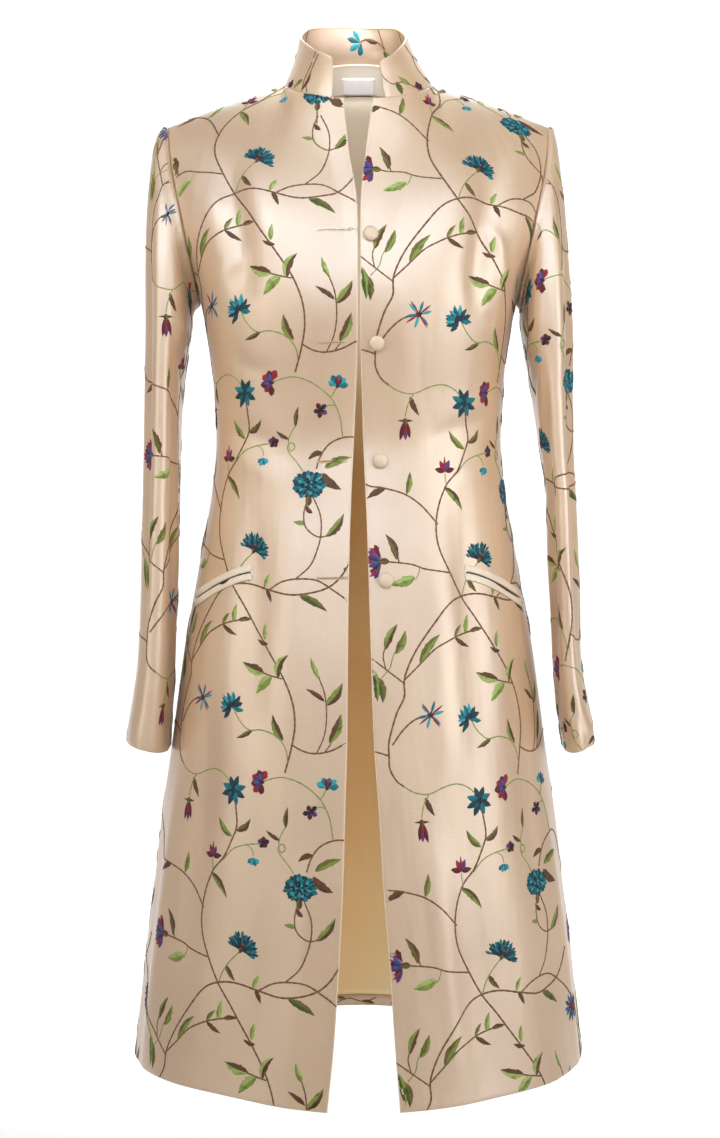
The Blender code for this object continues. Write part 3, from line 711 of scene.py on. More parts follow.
def lay_back(sheet):
    """Flat places of the back, out from its centre line; seen from behind, +X lies on the left."""
    along = sheet.along()
    middle = along[:, along.shape[1] // 2]
    sheet.flat = np.dstack([along - middle[:, None], flat_heights(sheet, BUST_ROW)])


def opened(sheet, side):
    """The sleeve cut open along its inner side and laid flat."""
    made = Sheet(sheet.name, np.concatenate([sheet.points, sheet.points[:, :1]], axis=1), flip=sheet.flip)
    made.normals = np.concatenate([sheet.normals, sheet.normals[:, :1]], axis=1)
    along = made.along()
    outer = len(UPPER_HEIGHTS)
    around = SIDES[side] * (along - along[:, outer:outer + 1] + SLEEVE_GRAIN)
    made.flat = np.dstack([around, flat_heights(made, len(SLEEVE_LOWER) - 1)])
    return made


def lay_collar(sheet):
    """Flat places of the collar, along its seam from the back middle and up from the seam."""
    along = np.repeat(sheet.along()[:1], len(sheet.points), axis=0)
    sheet.flat = np.dstack([along.max() / 2.0 - along, sheet.up()])


grids = {(face, side): relaxed(half_grid(face, side)) for face in FACES for side in SIDES}
fronts, sleeves = {}, {}
for side in SIDES:
    front_grid, back_grid = grids["front", side], grids["back", side]
    fronts[side] = Sheet("front_" + side + "_cloth", front_grid, flip=side == "right")
    lay_front(fronts[side], side)
    sleeves[side] = Sheet("sleeve_" + side + "_cloth", sleeve_grid(front_grid, back_grid, side),
                          closed=True, flip=side == "right")
    sleeves[side].flat = opened(sleeves[side], side).flat
back = Sheet("back_cloth", np.concatenate([grids["back", "left"][:, ::-1],
                                           grids["back", "right"][:, 1:]], axis=1))
lay_back(back)
collar = Sheet("collar_cloth", collar_grid(neck_line(grids)), flip=True)
lay_collar(collar)

# Relief on the cloth, in flat places: soft troughs are negative and ridges positive
SEAM_DIP = 0.3
SEAM_WIDTH = 2.2
SEAM_FADE = 14.0
EDGE_ROUND = 0.55
EDGE_WIDTH = 1.0
SLEEVE_RIDGE = 1.5
SLEEVE_RIDGE_AT = 4.5
SLEEVE_RIDGE_WIDTH = 3.0
CREASE_GAIN = 1.5
# Creases run from (u0, v0) to (u1, v1)
Crease = namedtuple("Crease", "u0 v0 u1 v1 bow width depth")
CREASE_FADE = (-0.12, 0.3)
CREASES = {
    "front_right": (
        (-140, -70, -112, -225, 9, 17, -4.2),
        (-152, -198, -100, -172, 4, 8, 1.5),
        (-92, -30, -84, -175, -6, 26, 2.4),
        (-34, -40, -13, -185, 3, 10, -1.8),
        (-46, -190, -34, -330, 4, 15, 1.3),
        (-138, -262, -78, -285, -5, 9, -1.2),
        (-142, -338, -58, -368, 6, 11, -1.6),
        (-138, -362, -70, -392, 5, 9, 1.0),
        (-98, -395, -106, -640, 5, 22, -2.4),
        (-52, -420, -58, -760, -4, 18, 1.7),
        (-70, -640, -84, -985, 6, 20, -1.7),
        (-148, -560, -186, -985, 7, 22, -2.8),
        (-196, -690, -232, -985, -4, 14, 2.6),
        (-32, -690, -44, -985, 3, 13, 1.5),
    ),
    "front_left": (
        (142, -75, 118, -232, -10, 15, -4.6),
        (152, -210, 124, -140, -9, 7, 1.7),
        (90, -35, 92, -180, 5, 24, 2.2),
        (150, -236, 92, -231, -1, 3.5, -1.3),
        (36, -40, 15, -190, -3, 10, -1.6),
        (44, -200, 40, -345, -3, 17, 1.5),
        (140, -330, 62, -352, -5, 10, -1.5),
        (142, -371, 84, -382, 4, 8, 1.1),
        (100, -402, 112, -655, -6, 20, -2.1),
        (66, -430, 74, -700, 5, 21, 2.0),
        (84, -650, 98, -985, -5, 24, -2.1),
        (158, -600, 196, -985, -6, 20, -2.6),
        (200, -720, 240, -985, 4, 13, 2.4),
        (58, -740, 66, -985, -3, 14, 1.6),
    ),
    "back": (
        (-8, -60, -4, -330, 4, 24, -1.9),
        (-120, -60, -96, -250, -8, 18, 2.1),
        (126, -70, 104, -262, 9, 17, 1.9),
        (-140, -320, -48, -356, 6, 10, -1.9),
        (-132, -352, -40, -379, 5, 9, 1.4),
        (138, -330, 52, -362, -5, 11, -1.8),
        (120, -362, 30, -384, -4, 9, 1.2),
        (-60, -420, -70, -700, -5, 22, -2.2),
        (70, -440, 84, -690, 6, 24, -2.0),
        (-120, -560, -150, -960, 7, 22, 2.4),
        (128, -590, 160, -960, -6, 20, 2.5),
        (20, -640, 28, -960, 4, 18, -1.9),
        (-190, -640, -222, -960, -4, 15, -2.3),
        (196, -660, 230, -960, 5, 14, -2.2),
    ),
    "sleeve_right": (
        (-52, -330, -47, -660, 2, 5, 1.7),
        (-66, -200, -58, -560, -4, 8, -1.9),
        (-98, -110, -103, -640, -5, 7, -2.1),
        (-122, -60, -126, -500, 4, 9, 1.6),
        (-84, -120, -88, -420, 3, 8, 1.4),
        (-60, -236, -30, -262, 2, 6, 1.8),
        (-58, -262, -24, -298, -3, 6, -1.9),
        (-150, -300, -166, -600, 5, 10, -1.8),
        (-186, -180, -194, -560, -5, 11, 1.8),
        (-232, -240, -236, -600, 4, 12, -2.0),
        (-70, -604, -52, -646, 2, 5, -1.2),
    ),
    "sleeve_left": (
        (54, -300, 50, -640, -2, 6, 1.5),
        (70, -230, 64, -600, 4, 8, -1.8),
        (104, -120, 106, -610, 4, 8, -2.2),
        (124, -90, 130, -560, -5, 9, 1.8),
        (86, -150, 92, -470, -3, 7, 1.3),
        (58, -246, 28, -278, -2, 6, 1.6),
        (60, -274, 22, -312, 3, 6, -1.9),
        (154, -280, 170, -620, -5, 10, -1.9),
        (190, -200, 196, -540, 5, 11, 1.7),
        (236, -230, 240, -610, -4, 12, -1.9),
        (84, -612, 92, -655, 1, 4, 1.3),
        (96, -618, 106, -655, -1, 4, -1.3),
        (112, -622, 118, -655, 1, 4, 1.2),
    ),
    "collar": (
        (-64, 2, -70, 44, 2, 9, -1.0),
        (52, 2, 66, 50, -3, 10, 1.0),
        (-22, 4, -18, 40, 2, 12, 0.9),
    ),
    "lining": (
        (-84, -250, -96, -950, 5, 14, -1.2),
        (-40, -180, -44, -950, -4, 13, 1.2),
        (-18, -220, -20, -950, 3, 7, -1.0),
        (-4, -120, -4, -950, 0, 2.2, -0.6),
        (14, -200, 17, -950, -3, 8, 1.1),
        (40, -160, 48, -950, 4, 12, -1.2),
        (88, -260, 100, -950, -5, 15, 1.2),
    ),
}


def relief_of(flat, table):
    """Heights that a table of creases gives at flat places."""
    total = np.zeros(flat.shape[:2])
    for crease in map(Crease._make, table):
        start = np.array([crease.u0, crease.v0], dtype=float)
        run = np.array([crease.u1, crease.v1], dtype=float) - start
        length = np.linalg.norm(run)
        run /= length
        across = np.array([-run[1], run[0]])
        t = (flat - start) @ run / length
        side = (flat - start) @ across - crease.bow * 4.0 * t * (1.0 - t)
        fade = ease(t, *CREASE_FADE) * ease(1.0 - t, *CREASE_FADE)
        total += crease.depth * fade * np.exp(-(side / crease.width) ** 2)
    return total


def bell(away, height, width):
    """A rise that falls off with the distance from a line."""
    return height * np.exp(-(away / width) ** 2)


# The sewn and the free edges of each shell
Edges = namedtuple("Edges", "sewn free")
FRONT_EDGES = Edges(("last", "top"), ("first", "low"))
SLEEVE_EDGES = Edges(("top",), ("low",))
EDGES = {
    "front_right": FRONT_EDGES,
    "front_left": FRONT_EDGES,
    "back": Edges(("first", "last", "top"), ("low",)),
    "sleeve_right": SLEEVE_EDGES,
    "sleeve_left": SLEEVE_EDGES,
    "collar": Edges(("low",), ("top", "first", "last")),
}


def shape_cloth(sheet):
    """Give a shell its creases, a sleeve the ridge of its cap, and sink the sewn and free edges."""
    away, edges = sheet.edges(), EDGES[sheet.part]
    relief = CREASE_GAIN * relief_of(sheet.flat[:, :sheet.points.shape[1]], CREASES[sheet.part])
    relief *= np.prod([ease(away[edge], 0.0, SEAM_FADE) for edge in edges.sewn], axis=0)
    if sheet.closed:
        relief += bell(away["top"] - SLEEVE_RIDGE_AT, SLEEVE_RIDGE, SLEEVE_RIDGE_WIDTH)
    for edge in edges.sewn:
        relief -= bell(away[edge], SEAM_DIP, SEAM_WIDTH)
    for edge in edges.free:
        relief -= bell(away[edge], EDGE_ROUND, EDGE_WIDTH)
    sheet.push(relief)


def linear(red, green, blue):
    """A colour in 0..255 screen values as linear light, with full alpha."""
    parts = np.array([red, green, blue]) / 255.0
    parts = np.where(parts <= 0.04045, parts / 12.92, ((parts + 0.055) / 1.055) ** 2.4)
    return (*[float(part) for part in parts], 1.0)


def new_material(name):
    """A node material, with its tree and its shader."""
    made = bpy.data.materials.new(name)
    made.use_nodes = True
    return made, made.node_tree, made.node_tree.nodes["Principled BSDF"]


def fill(tree, made, inputs):
    """Set a node's inputs, by name or number, to plain values or to other nodes' outputs."""
    for name, value in inputs.items():
        if isinstance(value, bpy.types.NodeSocket):
            tree.links.new(value, made.inputs[name])
        else:
            made.inputs[name].default_value = value


def node(tree, kind, inputs, **properties):
    """A node of a kind, with its properties and its inputs set."""
    made = tree.nodes.new(kind)
    for name, value in properties.items():
        setattr(made, name, value)
    fill(tree, made, inputs)
    return made


def arithmetic(tree, operation, *values):
    """The output of a math node."""
    return node(tree, "ShaderNodeMath", dict(enumerate(values)), operation=operation).outputs[0]


def smooth_share(tree, value, low, high, least=0.0, most=1.0):
    """A value's smooth step between low and high, from least to most."""
    inputs = {"Value": value, "From Min": low, "From Max": high, "To Min": least, "To Max": most}
    return node(tree, "ShaderNodeMapRange", inputs, interpolation_type="SMOOTHSTEP").outputs["Result"]


def height_of(tree, place):
    """The Y part of a place."""
    return node(tree, "ShaderNodeSeparateXYZ", {"Vector": place}).outputs["Y"]


def cloth_place(tree):
    """The flat place on the cloth."""
    return node(tree, "ShaderNodeUVMap", {}, uv_map="cloth").outputs["UV"]


# Noises over the flat cloth, with the size of their cells in metres
Grain = namedtuple("Grain", "across along detail")
GRAINS = {
    "threads": Grain(0.0005, 0.009, 3.0),
    "slubs": Grain(0.016, 0.0011, 2.0),
    "cloud": Grain(0.11, 0.16, 1.0),
    "ripples": Grain(0.030, 0.115, 2.0),
    "strands": Grain(0.00035, 0.006, 2.0),
    "patches": Grain(0.004, 0.007, 1.0),
}
NOISE_ROUGHNESS = 0.55


def cloth_noise(tree, name):
    """Noise drawn out over the flat cloth."""
    grain = GRAINS[name]
    scale = (1.0 / grain.across, 1.0 / grain.along, 1.0)
    place = node(tree, "ShaderNodeMapping", {"Vector": cloth_place(tree), "Scale": scale}).outputs["Vector"]
    inputs = {"Vector": place, "Scale": 1.0, "Detail": grain.detail, "Roughness": NOISE_ROUGHNESS}
    return node(tree, "ShaderNodeTexNoise", inputs).outputs["Fac"]


def ramp(tree, factor, *stops):
    """A colour ramp over a factor, from two stops of place and colour."""
    made = node(tree, "ShaderNodeValToRGB", {"Fac": factor})
    for element, (place, colour) in zip(made.color_ramp.elements, stops):
        element.position = place
        element.color = colour
    return made.outputs["Color"]


def bumped(tree, *heights):
    """A normal that is bumped by pairs of height output and depth in metres."""
    before = {}
    for height, depth in heights:
        inputs = {"Strength": 1.0, "Distance": depth, "Height": height, **before}
        before = {"Normal": node(tree, "ShaderNodeBump", inputs).outputs["Normal"]}
    return before["Normal"]


Weave = namedtuple("Weave", "name dark light rough gloss coat sheen slub ripple")
WEAVES = {
    "satin": Weave("silk_satin", (190, 144, 100), (213, 173, 129), 0.50, 1.0, 1.0, 0.2, 0.00012, 0.0022),
    # A paler copy of the satin in its lit colour: a painted highlight on the front edges and on the pocket
    # jets
    "plain_satin": Weave("plain_satin", (226, 206, 182), (238, 222, 202), 0.46, 0.7, 0.2, 0.15,
                         0.00010, 0.0004),
    "lining": Weave("gold_lining", (252, 206, 142), (255, 232, 180), 0.42, 0.8, 0.15, 0.10, 0.00005, 0.0009),
    "facing": Weave("neck_facing", (222, 208, 188), (236, 224, 206), 0.60, 0.4, 0.0, 0.15, 0.00006, 0.0003),
    "label": Weave("woven_label", (236, 230, 228), (246, 241, 240), 0.65, 0.3, 0.0, 0.05, 0.00005, 0.0001),
    "button": Weave("button_satin", (208, 182, 152), (224, 202, 174), 0.42, 0.8, 0.5, 0.15, 0.00010, 0.0004),
    "piping": Weave("brown_piping", (96, 76, 56), (124, 102, 78), 0.60, 0.3, 0.0, 0.15, 0.00006, 0.0),
}
SATIN_IOR = 2.3
COAT_ROUGHNESS = 0.41
SHEEN_ROUGHNESS = 0.4
WEAVE_SHARE = 0.30
WEAVE_STOPS = (0.45, 1.0)
# Painted light on the lining: its colour is painted paler up the cloth, lifting the shade high inside the
# jacket where it shows at the neck opening, from the first height to the second, in metres
PAINTED_LIGHT_COLOUR = (255, 240, 216)
PAINTED_LIGHT_HEIGHTS = (-0.44, -0.16)


def woven(weave):
    """Satin weave: long fine float threads down the cloth, faint slubs across it, and a soft gloss."""
    made, tree, shader = new_material(weave.name)
    threads, slubs, cloud, ripples = (
        cloth_noise(tree, name) for name in ("threads", "slubs", "cloud", "ripples"))
    tint = arithmetic(tree, "MULTIPLY_ADD", arithmetic(tree, "ADD", threads, slubs), WEAVE_SHARE, cloud)
    colour = ramp(tree, tint, *zip(WEAVE_STOPS, (linear(*weave.dark), linear(*weave.light))))
    # On the lining, painted light: a paler colour is mixed in up the cloth, standing in for light inside the
    # jacket
    if WEAVES["lining"] is weave:
        pale = smooth_share(tree, height_of(tree, cloth_place(tree)), *PAINTED_LIGHT_HEIGHTS)
        inputs = {"Factor": pale, 6: colour, 7: linear(*PAINTED_LIGHT_COLOUR)}
        colour = node(tree, "ShaderNodeMix", inputs, data_type="RGBA").outputs[2]
    if WEAVES["satin"] is weave:
        shader.inputs["IOR"].default_value = SATIN_IOR
    fill(tree, shader, {
        "Base Color": colour,
        "Roughness": weave.rough,
        "Sheen Weight": weave.sheen,
        "Sheen Roughness": SHEEN_ROUGHNESS,
        "Specular IOR Level": weave.gloss,
        "Coat Weight": weave.coat,
        "Coat Roughness": COAT_ROUGHNESS,
        "Normal": bumped(tree, (threads, weave.slub), (slubs, weave.slub), (ripples, weave.ripple)),
    })
    return made


THREAD_STOPS = (0.72, 1.0)
THREAD_ROUGHNESS = 0.55
THREAD_GLOSS = 0.4
THREAD_SHEEN = 0.05
THREAD_DEPTH = 0.00025


def thread(name, dark, light):
    """Embroidery floss laid in close parallel stitches."""
    made, tree, shader = new_material("thread_" + name)
    strands, patches = cloth_noise(tree, "strands"), cloth_noise(tree, "patches")
    tint = arithmetic(tree, "ADD", strands, patches)
    fill(tree, shader, {
        "Base Color": ramp(tree, tint, *zip(THREAD_STOPS, (linear(*dark), linear(*light)))),
        "Roughness": THREAD_ROUGHNESS,
        "Specular IOR Level": THREAD_GLOSS,
        "Sheen Weight": THREAD_SHEEN,
        "Normal": bumped(tree, (strands, THREAD_DEPTH)),
    })
    return made


# Flosses: each one's name, dark colour and light colour
FLOSSES = (
    ("brown", (80, 52, 30), (124, 88, 58)),
    ("dark_brown", (54, 32, 16), (96, 62, 36)),
    ("tendril_green", (100, 114, 50), (146, 160, 86)),
    ("leaf_green", (76, 92, 30), (132, 148, 66)),
    ("pale_green", (108, 130, 54), (166, 184, 104)),
    ("olive", (66, 62, 20), (110, 102, 42)),
    ("dark_green", (36, 48, 14), (76, 90, 32)),
    ("teal", (0, 72, 90), (4, 118, 132)),
    ("deep_teal", (0, 26, 38), (2, 62, 74)),
    ("turquoise", (6, 104, 126), (46, 164, 178)),
    ("crimson", (100, 10, 30), (152, 30, 54)),
    ("dark_red", (54, 6, 16), (98, 18, 32)),
    ("purple", (44, 24, 70), (90, 54, 118)),
    ("violet_blue", (26, 42, 110), (66, 88, 160)),
    ("night", (14, 8, 20), (40, 24, 44)),
    ("ivory", (214, 198, 178), (238, 228, 212)),
    ("cream", (190, 158, 126), (216, 188, 156)),
    ("orange", (160, 62, 38), (206, 104, 66)),
)
TONE = {name: number for number, (name, _, _) in enumerate(FLOSSES)}

# Stitches, in millimetres, and their cross sections from side to side
STEM_STEP = 2.3
STITCH = 3.4
STITCH_SWELL = 0.16
STEM_SIDES = np.array([-1.0, -0.6, 0.0, 0.6, 1.0])
STEM_DOME = np.array([-0.3, 0.8, 1.0, 0.8, -0.3])
BLADE_SIDES = np.array([-1.0, -0.55, 0.0, 0.55, 1.0])
BLADE_DOME = np.array([-0.25, 0.75, 1.0, 0.75, -0.25])
BLADE_RIB = np.array([0.0, 0.0, 1.0, 0.0, 0.0])
BLADE_FILL = 0.9
BLADE_LEAST = 0.12
BLADE_ENDS = 0.35
BLADE_TIPS = (0.06, 0.94)
SLANT = 0.8
SLANT_ALONG = 0.3
STITCH_STRAY = 400.0
LEAF_PEAK = 0.42
LEAF_GROOVE = 0.28
# Leaves in the vine and in the sprays: rows of stitches, and how ragged their edges are
VINE_ROWS, VINE_TOOTH = 12, 0.15
SPRAY_ROWS, SPRAY_TOOTH = 11, 0.12


class Stitching:
    """Raised stitches drawn on the flat cloth, then laid on a sheet."""

    def __init__(self):
        self.places = []
        self.heights = []
        self.faces = []
        self.tones = []
        self.uvs = []
        self.count = 0

    def patch(self, places, heights, tones, uvs):
        """A grid of stitches: places and uvs (n, m, 2), heights (n, m), tones by column gap."""
        n, m = heights.shape
        i, j = np.meshgrid(np.arange(n - 1), np.arange(m - 1), indexing="ij")
        a = (i * m + j).ravel() + self.count
        self.faces.append(np.column_stack([a, a + 1, a + m + 1, a + m]))
        self.tones.append(np.tile(np.asarray(tones), n - 1))
        self.places.append(places.reshape(-1, 2))
        self.heights.append(heights.ravel())
        self.uvs.append(uvs.reshape(-1, 2))
        self.count += n * m

    def stem(self, points, tone, width=1.25, height=0.5):
        """A line of small overlapping stitches along a smooth curve through the points."""
        line = curve(np.asarray(points, dtype=float), STEM_STEP)
        run = run_of(np.linalg.norm(np.diff(line, axis=0), axis=1))
        tangent = np.gradient(line, axis=0)
        tangent /= np.linalg.norm(tangent, axis=1)[:, None]
        across = np.column_stack([-tangent[:, 1], tangent[:, 0]])
        beat = 1.0 + STITCH_SWELL * np.cos(2.0 * math.pi * run / STITCH)
        wide = 0.5 * width * beat
        places = line[:, None] + across[:, None] * (wide[:, None] * STEM_SIDES)[:, :, None]
        heights = height * beat[:, None] * STEM_DOME
        uvs = np.dstack([np.tile(STEM_SIDES * width, (len(run), 1)),
                         np.tile(run[:, None], (1, len(STEM_SIDES)))])
        self.patch(places, heights, [TONE[tone]] * 4, uvs)

    def blade(self, base, tip, width, left, right=None, bend=0.0, peak=0.45, height=0.75, rows=9,
              tooth=0.0, groove=0.0):
        """A leaf or petal of satin stitches from base to tip, in one tone or a tone on each side."""
        base, tip = np.asarray(base, dtype=float), np.asarray(tip, dtype=float)
        run = tip - base
        length = np.linalg.norm(run)
        across = np.array([-run[1], run[0]]) / length
        t = np.linspace(0.0, 1.0, rows)
        line = base + t[:, None] * run + across * (bend * 4.0 * t * (1.0 - t))[:, None]
        power = math.log(0.5) / math.log(peak)
        belly = np.maximum(np.sin(math.pi * t ** power), 0.0) ** BLADE_FILL
        wide = 0.5 * width * belly + BLADE_LEAST
        rag = 1.0 + tooth * rng.uniform(-1.0, 1.0, (rows, 2))
        shift = BLADE_SIDES * wide[:, None] * np.where(BLADE_SIDES < 0, rag[:, :1], rag[:, 1:])
        places = line[:, None] + across * shift[:, :, None]
        dome = BLADE_DOME - groove * BLADE_RIB
        rise = BLADE_ENDS + (1.0 - BLADE_ENDS) * np.sin(math.pi * np.clip(t, *BLADE_TIPS))
        heights = height * dome * rise[:, None]
        uvs = np.dstack([shift + t[:, None] * SLANT_ALONG, t[:, None] * length - np.abs(shift) * SLANT])
        offset = rng.uniform(0.0, STITCH_STRAY, 2)
        self.patch(places, heights, [TONE[left]] * 2 + [TONE[right or left]] * 2, uvs + offset)

    def leaf(self, leaf, base, tip, rows, tooth):
        """A grooved leaf of a table's width, bend and tones."""
        self.blade(base, tip, leaf.width, leaf.left, leaf.right, bend=leaf.bend, peak=LEAF_PEAK,
                   rows=rows, tooth=tooth, groove=LEAF_GROOVE)

    def lay(self, name, sheet):
        """The stitches as one mesh on the sheet; stitches past its edges are cut off."""
        at, good = sheet.solve(np.concatenate(self.places))
        points, _ = sheet.lift(at, np.concatenate(self.heights))
        faces = np.concatenate(self.faces)
        keep = good[faces].all(axis=1)
        used, index = np.unique(faces[keep], return_inverse=True)
        present, slots = np.unique(np.concatenate(self.tones)[keep], return_inverse=True)
        mesh, corners = new_mesh(name, points[used], index.reshape(-1, 4).tolist(),
                                 [THREADS[tone] for tone in present], slots.astype(np.int32))
        return riding(cloth_object(mesh, np.concatenate(self.uvs)[used][corners]))


def curve(points, step):
    """A smooth curve through points, sampled about every step."""
    ends = np.concatenate([[2 * points[0] - points[1]], points, [2 * points[-1] - points[-2]]])
    result = []
    for k in range(1, len(ends) - 2):
        a, b, c, d = ends[k - 1:k + 3]
        count = max(2, int(round(np.linalg.norm(c - b) / step)))
        t = np.arange(count)[:, None] / count
        result.append(0.5 * (2 * b + (c - a) * t + (2 * a - 5 * b + 4 * c - d) * t * t
                             + (3 * b - a - 3 * c + d) * t ** 3))
    return np.concatenate(result + [points[-1:]])


# The repeat, how far its stems reach past a tile, and how far past a sheet a stitch may start
TILE = np.array([250.0, 378.0])
TILE_REACH = 240.0
SHEET_MARGIN = 25.0
TIP_STRAY = 0.8

# A flower by a top edge is moved down the cloth, onto a short stalk
PEONY_SQUASH = 0.76
SEAM_REACH = 14.0
SEAM_LIFT = 15.0
STALK_LENGTH = 6.0
STALK_WIDTH = 1.8

# How far petals stray from their angle in degrees and their length, in a fan and in a ring
FAN_STRAY, FAN_LENGTHS = 3.0, (0.9, 1.08)
RING_STRAY, RING_LENGTHS = 4.0, (0.92, 1.08)
PEONY_STRAY = 0.25

# The repeat of the climbing vine, in millimetres from the place where its two main stems cross: each
# stem's tone, width and points
STEMS = (
    ("brown", 2.0, ((10, 180), (13, 165), (14, 150), (8, 135), (0, 120), (-13, 106), (-22, 87), (-26, 67),
                    (-24, 47), (-14, 25), (0, 0), (14, -18), (29, -39), (45, -61), (60, -83), (70, -106),
                    (73, -128), (70, -150), (64, -174))),
    ("brown", 2.0, ((-80, -147), (-79, -133), (-71, -108), (-63, -92), (-62, -74), (-51, -50), (-31, -23),
                    (-15, -6), (2, 1), (21, 2), (44, -3), (66, -7), (86, -5), (104, 1), (116, 12),
                    (124, 27))),
    ("brown", 1.8, ((45, -2), (58, 5), (74, 8), (92, 7), (108, -2), (124, -14), (138, -32), (150, -50))),
    ("brown", 1.8, ((-80, 231), (-80, 219), (-75, 208), (-68, 202))),
    ("tendril_green", 1.4, ((-68, 202), (-58, 196), (-44, 194), (-28, 200), (-15, 202), (-3, 198),
                            (7, 189))),
    ("brown", 1.8, ((-62, -76), (-49, -64), (-33, -49), (-20, -42), (-8, -37), (8, -33), (19, -32))),
    ("brown", 1.8, ((-76, 241), (-66, 254), (-54, 264), (-40, 268))),
    ("tendril_green", 1.2, ((-84, 304), (-76, 313), (-73, 323), (-70, 329))),
    ("brown", 1.8, ((71, 230), (81, 225), (93, 223), (108, 226), (124, 234), (140, 238), (157, 235),
                    (170, 231))),
    ("brown", 1.5, ((94, 223), (101, 240), (103, 259), (101, 279), (95, 295))),
    ("brown", 1.4, ((102, 225), (107, 232), (108, 238))),
    ("tendril_green", 1.4, ((67, 212), (64, 227), (54, 238), (38, 243), (24, 242), (13, 250), (6, 260))),
    ("tendril_green", 1.4, ((42, 195), (56, 199), (67, 199), (83, 193), (99, 180), (108, 163),
                            (112, 143))),
    ("tendril_green", 1.2, ((99, 180), (103, 187), (104, 192))),
    ("tendril_green", 1.2, ((104, 172), (98, 173), (94, 170))),
    ("brown", 1.8, ((88, 112), (92, 125), (100, 136), (113, 142), (127, 141), (142, 130), (157, 108),
                    (174, 104), (194, 98), (210, 87), (226, 69))),
    ("brown", 1.6, ((83, 86), (78, 72), (80, 57), (92, 48), (104, 50))),
    ("brown", 1.6, ((86, 86), (94, 68), (95, 50), (91, 33), (85, 20), (72, 8))),
    ("tendril_green", 1.2, ((75, 110), (68, 119), (61, 126), (58, 133), (63, 137), (66, 132), (61, 129),
                            (59, 139), (62, 147), (66, 153))),
    ("brown", 1.7, ((-78, 35), (-53, 32), (-38, 27), (-13, 23))),
    ("brown", 1.4, ((-64, 34), (-66, 44), (-70, 52))),
    ("tendril_green", 1.2, ((-44, 29), (-46, 22), (-49, 17))),
    ("tendril_green", 1.3, ((-1, 117), (10, 128), (22, 133), (33, 135), (41, 136))),
    ("tendril_green", 1.1, ((25, 134), (31, 130), (33, 124))),
    ("tendril_green", 1.2, ((-13, 106), (-14, 113), (-14, 118))),
    ("tendril_green", 1.4, ((1, 2), (5, 12), (12, 22), (22, 32))),
    ("tendril_green", 1.2, ((-44, 194), (-50, 184), (-53, 172))),
    ("brown", 1.6, ((60, -86), (50, -84), (38, -81))),
    ("brown", 1.6, ((-62, -80), (-80, -66), (-100, -50), (-114, -38))),
    ("tendril_green", 1.2, ((-84, -82), (-94, -64), (-106, -48), (-118, -34))),
    ("brown", 1.4, ((-80, -66), (-82, -54), (-80, -46))),
)

Leaf = namedtuple("Leaf", "u0 v0 u1 v1 width bend left right")
LEAVES = (
    (40, -81, 14, -73, 11, 1.5, "dark_brown", "pale_green"),
    (49, -84, 31, -101, 11, -1.5, "pale_green", "leaf_green"),
    (55, -86, 66, -63, 10, 4.5, "dark_brown", "pale_green"),
    (40, -50, 41, -34, 5.5, 0.6, "pale_green", "leaf_green"),
    (44, -54, 31, -50, 4.5, 1.2, "dark_brown", "dark_brown"),
    (-47, -62, -27, -35, 8.5, 2.5, "leaf_green", "olive"),
    (-11, -38, -2, -26, 4.5, 0.8, "leaf_green", "olive"),
    (3, -35, 6, -17, 6.5, 0.8, "pale_green", "leaf_green"),
    (8, -33, 23, -31, 5.0, 0.8, "olive", "dark_brown"),
    (-11, -38, 7, -48, 5.0, -0.8, "dark_brown", "dark_brown"),
    (-70, 326, -60, 348, 8, -1.5, "leaf_green", "olive"),
    (-88, 305, -84, 280, 9, 2.0, "dark_green", "olive"),
    (96, 293, 88, 312, 5.5, 1.0, "pale_green", "leaf_green"),
    (101, 272, 83, 284, 5.0, -0.8, "dark_brown", "dark_brown"),
    (102, 268, 117, 289, 9.5, -2.0, "dark_brown", "leaf_green"),
    (106, 233, 116, 260, 9.5, -2.0, "leaf_green", "dark_brown"),
    (62, 234, 51, 258, 9.0, 2.8, "dark_brown", "leaf_green"),
    (28, 242, 10, 234, 5.0, 0.8, "olive", "dark_brown"),
    (94, 128, 79, 121, 6.0, -1.8, "dark_brown", "dark_brown"),
    (96, 113, 121, 124, 9.0, 1.6, "leaf_green", "olive"),
    (94, 108, 114, 93, 9.5, -2.4, "dark_brown", "dark_brown"),
    (100, 48, 116, 70, 8.5, -2.4, "dark_brown", "leaf_green"),
    (86, 70, 78, 78, 5.0, 1.0, "dark_brown", "dark_brown"),
    (80, 60, 67, 62, 4.6, 0.0, "leaf_green", "leaf_green"),
    (66, 152, 68, 172, 5.0, 1.0, "dark_brown", "olive"),
    (60, 140, 46, 148, 4.2, 0.8, "dark_brown", "dark_brown"),
    (-66, 36, -76, 60, 8.0, -2.5, "dark_brown", "olive"),
    (-49, 20, -72, 13, 10.0, 1.0, "pale_green", "leaf_green"),
    (13, 146, 29, 159, 7.0, -3.0, "dark_brown", "olive"),
    (9, 140, -7, 158, 7.0, 2.4, "leaf_green", "olive"),
    (-16, 104, 5, 82, 7.5, 2.4, "leaf_green", "dark_brown"),
    (-54, 98, -50, 119, 6.5, -1.0, "leaf_green", "olive"),
    (-74, 104, -92, 94, 6.5, -1.0, "dark_brown", "dark_brown"),
    (8, 18, 19, 4, 5.5, -0.8, "olive", "dark_brown"),
    (-48, 191, -40, 173, 6.0, -1.0, "dark_brown", "dark_brown"),
    (38, -1, 44, 12, 5.2, 0.6, "pale_green", "leaf_green"),
    (40, -2, 47, -15, 5.0, 0.6, "dark_brown", "dark_brown"),
    (76, -8, 102, -22, 8.0, 1.8, "dark_green", "olive"),
    (-80, -48, -68, -24, 8.0, 1.8, "dark_brown", "leaf_green"),
    (-92, -66, -88, -96, 8.0, 1.2, "dark_green", "leaf_green"),
)

